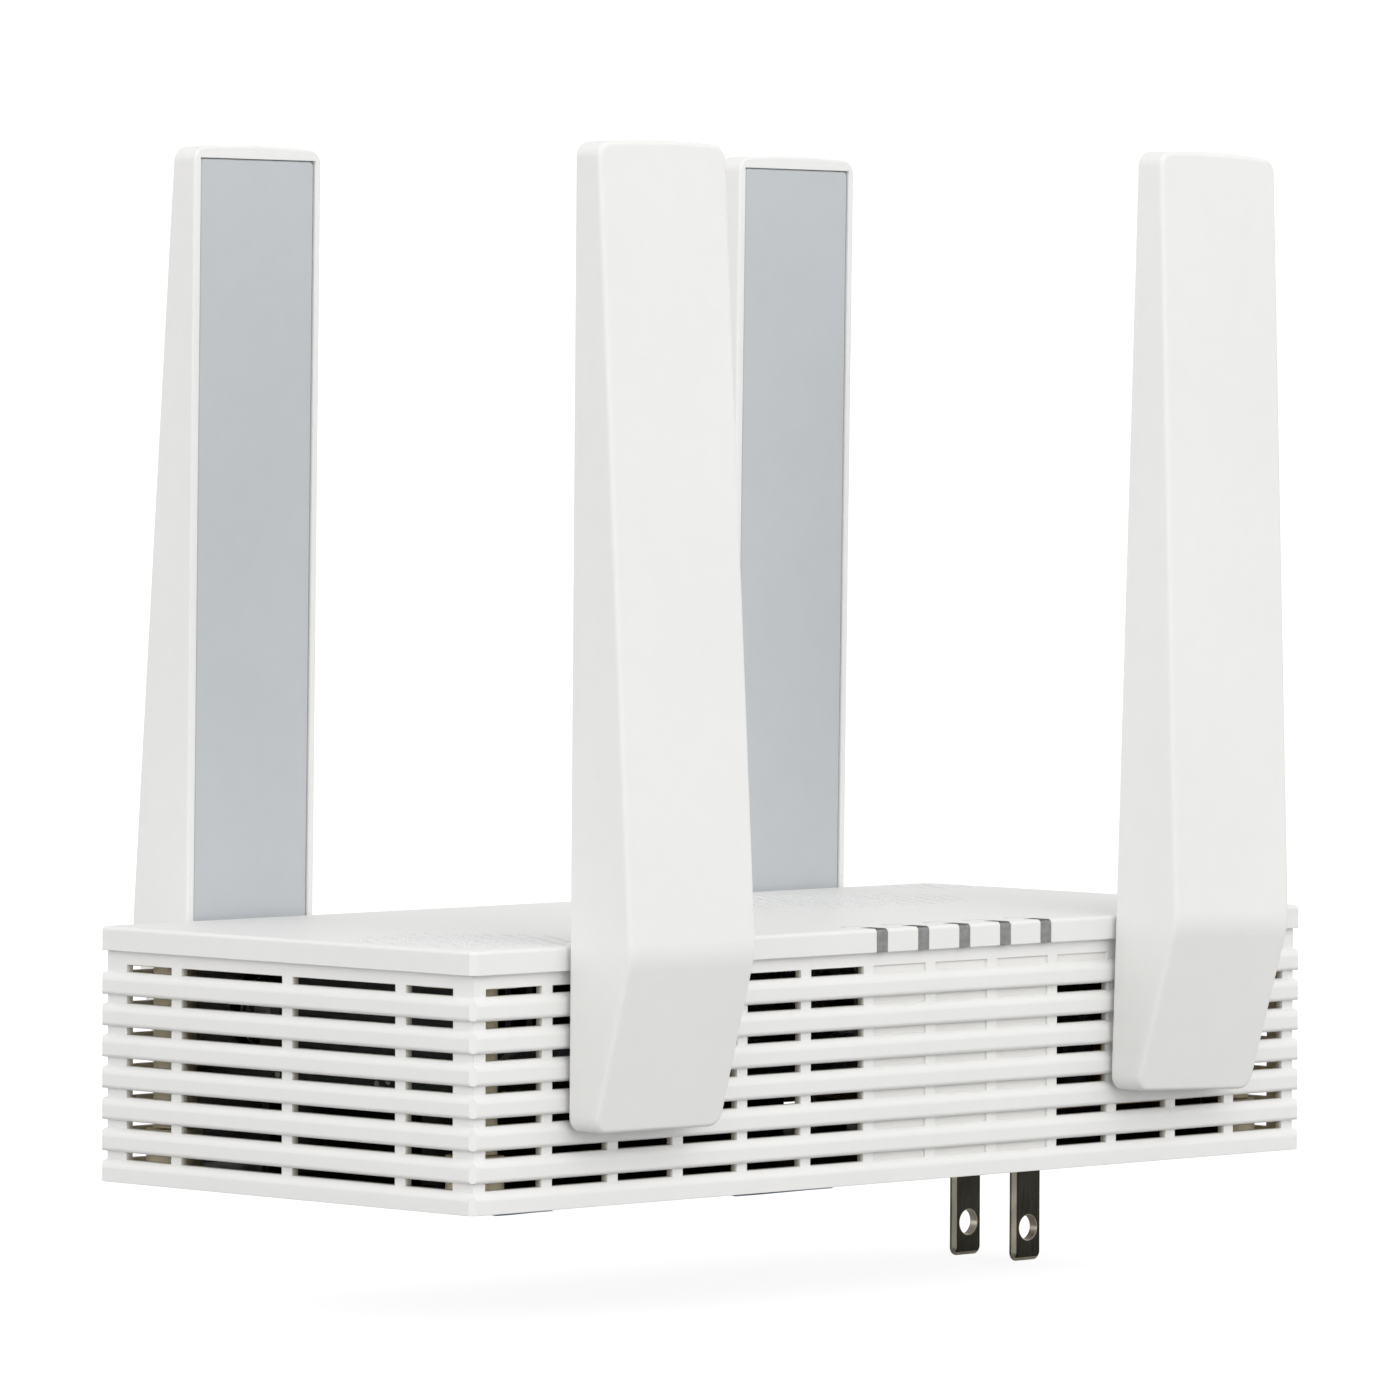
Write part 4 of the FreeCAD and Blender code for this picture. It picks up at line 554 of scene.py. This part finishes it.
def dress_nodes():
    """Give every CAD node its finished material."""
    antenna_white = moulded("antenna_white", WHITE, 0.42).material
    hub_white = moulded("hub_white", (0.78, 0.78, 0.76), 0.45).material
    grey_panel = panel_look()
    radiator = circuit_board("radiator_board", (0.020, 0.090, 0.045), (0.35, 0.22, 0.10))
    ring_steel = metal("spring_steel", (0.52, 0.52, 0.53), 0.3, (1.0, 1.0, 0.2))
    jacket = lead_jacket()
    for name in ANTENNAS:
        assign(f"antenna_shell_{name}", antenna_white)
        assign(f"antenna_panel_{name}", grey_panel)
        assign(f"antenna_radiator_{name}", radiator)
        assign(f"antenna_hub_{name}", hub_white)
        assign(f"retaining_ring_{name}", ring_steel)
        assign(f"coax_lead_{name}", jacket)
    assign("base_shell", housing_look("base_white", 0.44, 0.000012, 0.5 * MM, 40 * MM))
    assign("top_cover", housing_look("cover_white", 0.42, 0.000008, -5 * MM, 35.7 * MM))
    assign("light_guides", guide_look())
    blade = blade_look()
    assign("blade_front", blade)
    assign("blade_back", blade)
    assign("plug_carrier", moulded("carrier_white", (0.83, 0.83, 0.81), 0.5, 0.00002).material)
    film = label_look()
    assign("serial_label", film)
    assign("rating_label", film)
    zinc = metal("zinc_screw", (0.60, 0.60, 0.62), 0.32, (0.3, 0.3, 2.0))
    assign("cover_screws", zinc)
    assign("board_screws", zinc)
    assign("friction_washers", moulded("washer_nylon", (0.72, 0.69, 0.58), 0.5).material)
    gold = metal("gold_plate", (0.83, 0.62, 0.28), 0.22, (0.4, 2.0, 0.4), 0.1)
    assign("antenna_sockets", gold)
    assign("socket_contacts", gold)
    assign("main_board", circuit_board("main_board_dark", (0.012, 0.030, 0.022),
                                       (0.055, 0.060, 0.058)))
    assign("supply_board", circuit_board("supply_board_tan", (0.46, 0.32, 0.14),
                                         (0.52, 0.26, 0.11)))
    tin = metal("tin_plate", (0.66, 0.66, 0.64), 0.3, (0.2, 1.0, 1.0))
    assign("radio_shield_left", tin)
    assign("radio_shield_right", tin)
    assign("heat_sink", metal("sink_anodised", (0.16, 0.16, 0.17), 0.42, (2.0, 0.1, 1.0), 0.1))
    epoxy = package("chip_epoxy", (0.022, 0.022, 0.023))
    for node in ("processor", "memory_chips", "network_transformer", "bridge_rectifier"):
        assign(node, epoxy)
    assign("thermal_pad", soft_pad())
    assign("status_lights", moulded("light_lens", (0.86, 0.82, 0.58), 0.2, 0.000004).material)
    assign("transformer_core", package("ferrite_black", (0.050, 0.048, 0.047), 0.62))
    assign("transformer_winding", wound("winding_tape", (0.78, 0.58, 0.10), "X", 0.0011))
    assign("electrolytic_capacitors", sleeve("capacitor_sleeve", (0.02, 0.02, 0.035),
                                             (0.62, 0.62, 0.62)))
    assign("interference_capacitor", package("film_capacitor_yellow", (0.62, 0.42, 0.05), 0.4))
    assign("mains_choke", wound("choke_wire", (0.60, 0.24, 0.09), "DIAGONAL", 0.0009))
    assign("mains_fuse", clear_glass())
    assign("supply_lead", moulded("lead_red", (0.42, 0.030, 0.025), 0.45).material)
    assign("supply_header", moulded("header_nylon", (0.80, 0.77, 0.66), 0.5).material)
    assign("network_socket", moulded("socket_black", (0.022, 0.022, 0.023), 0.42).material)
    assign("pairing_button", moulded("button_grey", (0.74, 0.74, 0.73), 0.4).material)
    assign("switch_plunger", moulded("plunger_nylon", (0.80, 0.78, 0.68), 0.45).material)
    assign("pairing_switch", package("switch_case", (0.03, 0.03, 0.032), 0.45))


# ---------------------------------------------------------------- mesh details

def add_piece(name, shape, material, body):
    """Turn a finished bmesh in millimetres into a named piece that rides on a body."""
    bmesh.ops.scale(shape, vec=(MM, MM, MM), verts=shape.verts)
    bmesh.ops.recalc_face_normals(shape, faces=shape.faces)
    mesh = bpy.data.meshes.new(name)
    shape.to_mesh(mesh)
    shape.free()
    mesh.materials.append(material)
    piece = bpy.data.objects.new(name, mesh)
    bpy.context.scene.collection.objects.link(piece)
    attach(piece, body)
    return piece


def add_prism(shape, outline, low, high, taper=1.0, plane=(0, 1, 2)):
    """Closed prism from an outline of points (u, v), narrowed about its middle at the top."""
    middle_u = sum(point[0] for point in outline) / len(outline)
    middle_v = sum(point[1] for point in outline) / len(outline)
    rings = []
    for level, scale in ((low, 1.0), (high, taper)):
        ring = []
        for u, v in outline:
            place = [0.0, 0.0, 0.0]
            place[plane[0]] = middle_u + (u - middle_u) * scale
            place[plane[1]] = middle_v + (v - middle_v) * scale
            place[plane[2]] = level
            ring.append(shape.verts.new(place))
        rings.append(ring)
    count = len(outline)
    for index in range(count):
        after = (index + 1) % count
        shape.faces.new((rings[0][index], rings[0][after], rings[1][after], rings[1][index]))
    shape.faces.new(rings[1])
    shape.faces.new(list(reversed(rings[0])))


def polygon(x, y, radius, sides, turn=0.0):
    """Outline of a regular polygon about x, y."""
    return [(x + radius * math.cos(turn + 2 * math.pi * index / sides),
             y + radius * math.sin(turn + 2 * math.pi * index / sides)) for index in range(sides)]


def rounded_bar(x, y, length, width):
    """Outline of a bar along x with round ends."""
    points = []
    for end, start in ((1, -math.pi / 2), (-1, math.pi / 2)):
        for step in range(7):
            angle = start + math.pi * step / 6
            points.append((x + end * (length - width) / 2 + width / 2 * math.cos(angle),
                           y + width / 2 * math.sin(angle)))
    return points


PATTERN_PITCH = 3.0
PATTERN_ROW = PATTERN_PITCH * 0.866
PATTERN_SUNK = 0.03
PATTERN_HEIGHT = 0.07
PATTERN_PATCHES = (
    # middle x, middle y, half length, half width, largest pad radius
    (-131.5, -21.0, 16.0, 17.0, 1.30),
    (-24.0, 15.0, 26.0, 18.0, 1.20),
    (18.5, 31.5, 6.5, 7.0, 0.95),
)


def lid_pattern(material):
    """Patches of low hexagonal pads on the cover that shrink towards each patch's border."""
    shape = bmesh.new()
    for middle_x, middle_y, half_length, half_width, largest in PATTERN_PATCHES:
        rows = int(half_width / PATTERN_ROW) + 1
        columns = int(half_length / PATTERN_PITCH) + 1
        for row in range(-rows, rows + 1):
            for column in range(-columns, columns + 1):
                x = (column + 0.5 * (row % 2)) * PATTERN_PITCH
                y = row * PATTERN_ROW
                reach = math.hypot(x / half_length, y / half_width)
                if reach > 1.0:
                    continue
                radius = largest * min(1.0, 1.45 - reach)
                add_prism(shape, polygon(middle_x + x, middle_y + y, radius, 6, math.pi / 6),
                          LID_TOP - PATTERN_SUNK, LID_TOP + PATTERN_HEIGHT, 0.82)
    add_piece("lid_pattern", shape, material, "body")


GUIDE_MIDDLES = tuple(-48.75 + 8.75 * (index - 2) for index in range(5))


MARK_Y = -SIDE + 6.2
MARK_LEVELS = (LID_TOP - 0.01, LID_TOP + 0.012)


def light_marks(material):
    """A small printed dot and three short bars behind each status light."""
    shape = bmesh.new()
    for index, x in enumerate(GUIDE_MIDDLES):
        add_prism(shape, polygon(x - 1.9, MARK_Y, 0.62, 18), *MARK_LEVELS)
        for bar in range(3):
            length = 0.7 + 0.35 * ((bar + index) % 3)
            add_prism(shape, rounded_bar(x - 0.5 + 1.1 * bar, MARK_Y, length, 0.42), *MARK_LEVELS)
    add_piece("light_marks", shape, material, "body")


COVER_SCREWS = tuple((x, y) for x in (-141.0, 18.0) for y in (-32.0, 32.0))
CROSS_ARM = 0.24
CROSS_RADIUS = 1.07
CROSS_TURN = 0.35
CROSS_LEVELS = (0.66, 1.38)


def cross_recesses(material):
    """Four corner blocks in each cover screw's recess leave a cross for the driver."""
    shape = bmesh.new()
    start = math.asin(CROSS_ARM / CROSS_RADIUS)
    for x, y in COVER_SCREWS:
        for quarter in range(4):
            turn = quarter * math.pi / 2 + CROSS_TURN
            local = [(CROSS_ARM, CROSS_ARM)]
            for step in range(6):
                angle = start + (math.pi / 2 - 2 * start) * step / 5
                local.append((CROSS_RADIUS * math.cos(angle), CROSS_RADIUS * math.sin(angle)))
            outline = [(x + u * math.cos(turn) - v * math.sin(turn),
                        y + u * math.sin(turn) + v * math.cos(turn)) for u, v in local]
            add_prism(shape, outline, *CROSS_LEVELS, 0.94)
    add_piece("cover_screw_crosses", shape, material, "body")


LABEL_EDGES = (
    # name, left and right end of the film's free edge
    ("serial_film_edge", -143.7, -132.3),
    ("rating_film_edge", -95.7, -75.4),
)
FILM_START = -35.0
FILM_REACH = 4.1
FILM_LIFT = 0.27
FILM_SUNK = 0.02
FILM_THICKNESS = 0.08


def label_film_edges(material):
    """The films' free front edges stand a little off the wall face."""
    for name, left, right in LABEL_EDGES:
        shape = bmesh.new()
        columns = 24
        rows = 8
        grid = []
        for row in range(rows + 1):
            far = row / rows
            y = FILM_START - FILM_REACH * far
            line = []
            for column in range(columns + 1):
                along = column / columns
                x = left + (right - left) * along
                lift = FILM_LIFT * far * far * (0.86 + 0.14 * math.sin(5.0 * along + 0.6))
                line.append(shape.verts.new((x, y, -FILM_SUNK - lift)))
            grid.append(line)
        for row in range(rows):
            for column in range(columns):
                shape.faces.new((grid[row][column], grid[row][column + 1],
                                 grid[row + 1][column + 1], grid[row + 1][column]))
        piece = add_piece(name, shape, material, "body")
        sheet = piece.modifiers.new("thickness", "SOLIDIFY")
        sheet.thickness = FILM_THICKNESS * MM
        sheet.offset = 0.0


PORT_LIGHTS = (
    # name, middle x, colour
    ("port_light_green", -62.3, (0.05, 0.30, 0.08)),
    ("port_light_amber", -53.7, (0.50, 0.24, 0.03)),
)
WINDOW_MIDDLE = 29.5
WINDOW_LEVELS = (39.7, 39.9)
WINDOW_CORNERS = ((-1.3, -0.55), (1.3, -0.55), (1.5, -0.35), (1.5, 0.35),
                  (1.3, 0.55), (-1.3, 0.55), (-1.5, 0.35), (-1.5, -0.35))


def port_lights():
    """Two small lamp windows over the network socket's mouth."""
    for name, x, colour in PORT_LIGHTS:
        look = Look(name, 0.2, specular=0.6)
        glow = look.step(look.noise(800.0), 0.3, 0.7)
        look.colour(look.mix(glow, tuple(part * 0.6 for part in colour), colour))
        look.relief(look.cells(2400.0), 0.00004)
        shape = bmesh.new()
        outline = [(x + u, WINDOW_MIDDLE + v) for u, v in WINDOW_CORNERS]
        add_prism(shape, outline, *WINDOW_LEVELS, 0.93, (0, 2, 1))
        add_piece(name, shape, look.material, "body")


def ink_look():
    """Pale grey pad-printed ink."""
    look = Look("pad_print_grey", 0.5)
    look.colour(look.mix(look.step(look.noise(1900.0), 0.3, 0.7), (0.44, 0.46, 0.47),
                         (0.60, 0.62, 0.62)))
    look.relief(look.noise(2600.0), 0.000006)
    return look.material


def add_details():
    """Everything that the CAD nodes leave out."""
    lid_pattern(moulded("pattern_white", (0.80, 0.81, 0.81), 0.3, 0.000004).material)
    light_marks(ink_look())
    cross_recesses(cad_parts["cover_screws"].data.materials[0])
    label_film_edges(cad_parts["serial_label"].data.materials[0])
    port_lights()


# ---------------------------------------------------------------- the whole scene

make_camera()
bpy.context.scene.view_settings.view_transform = "Standard"
make_surroundings()
make_lights()
make_stage()
dress_nodes()
add_details()
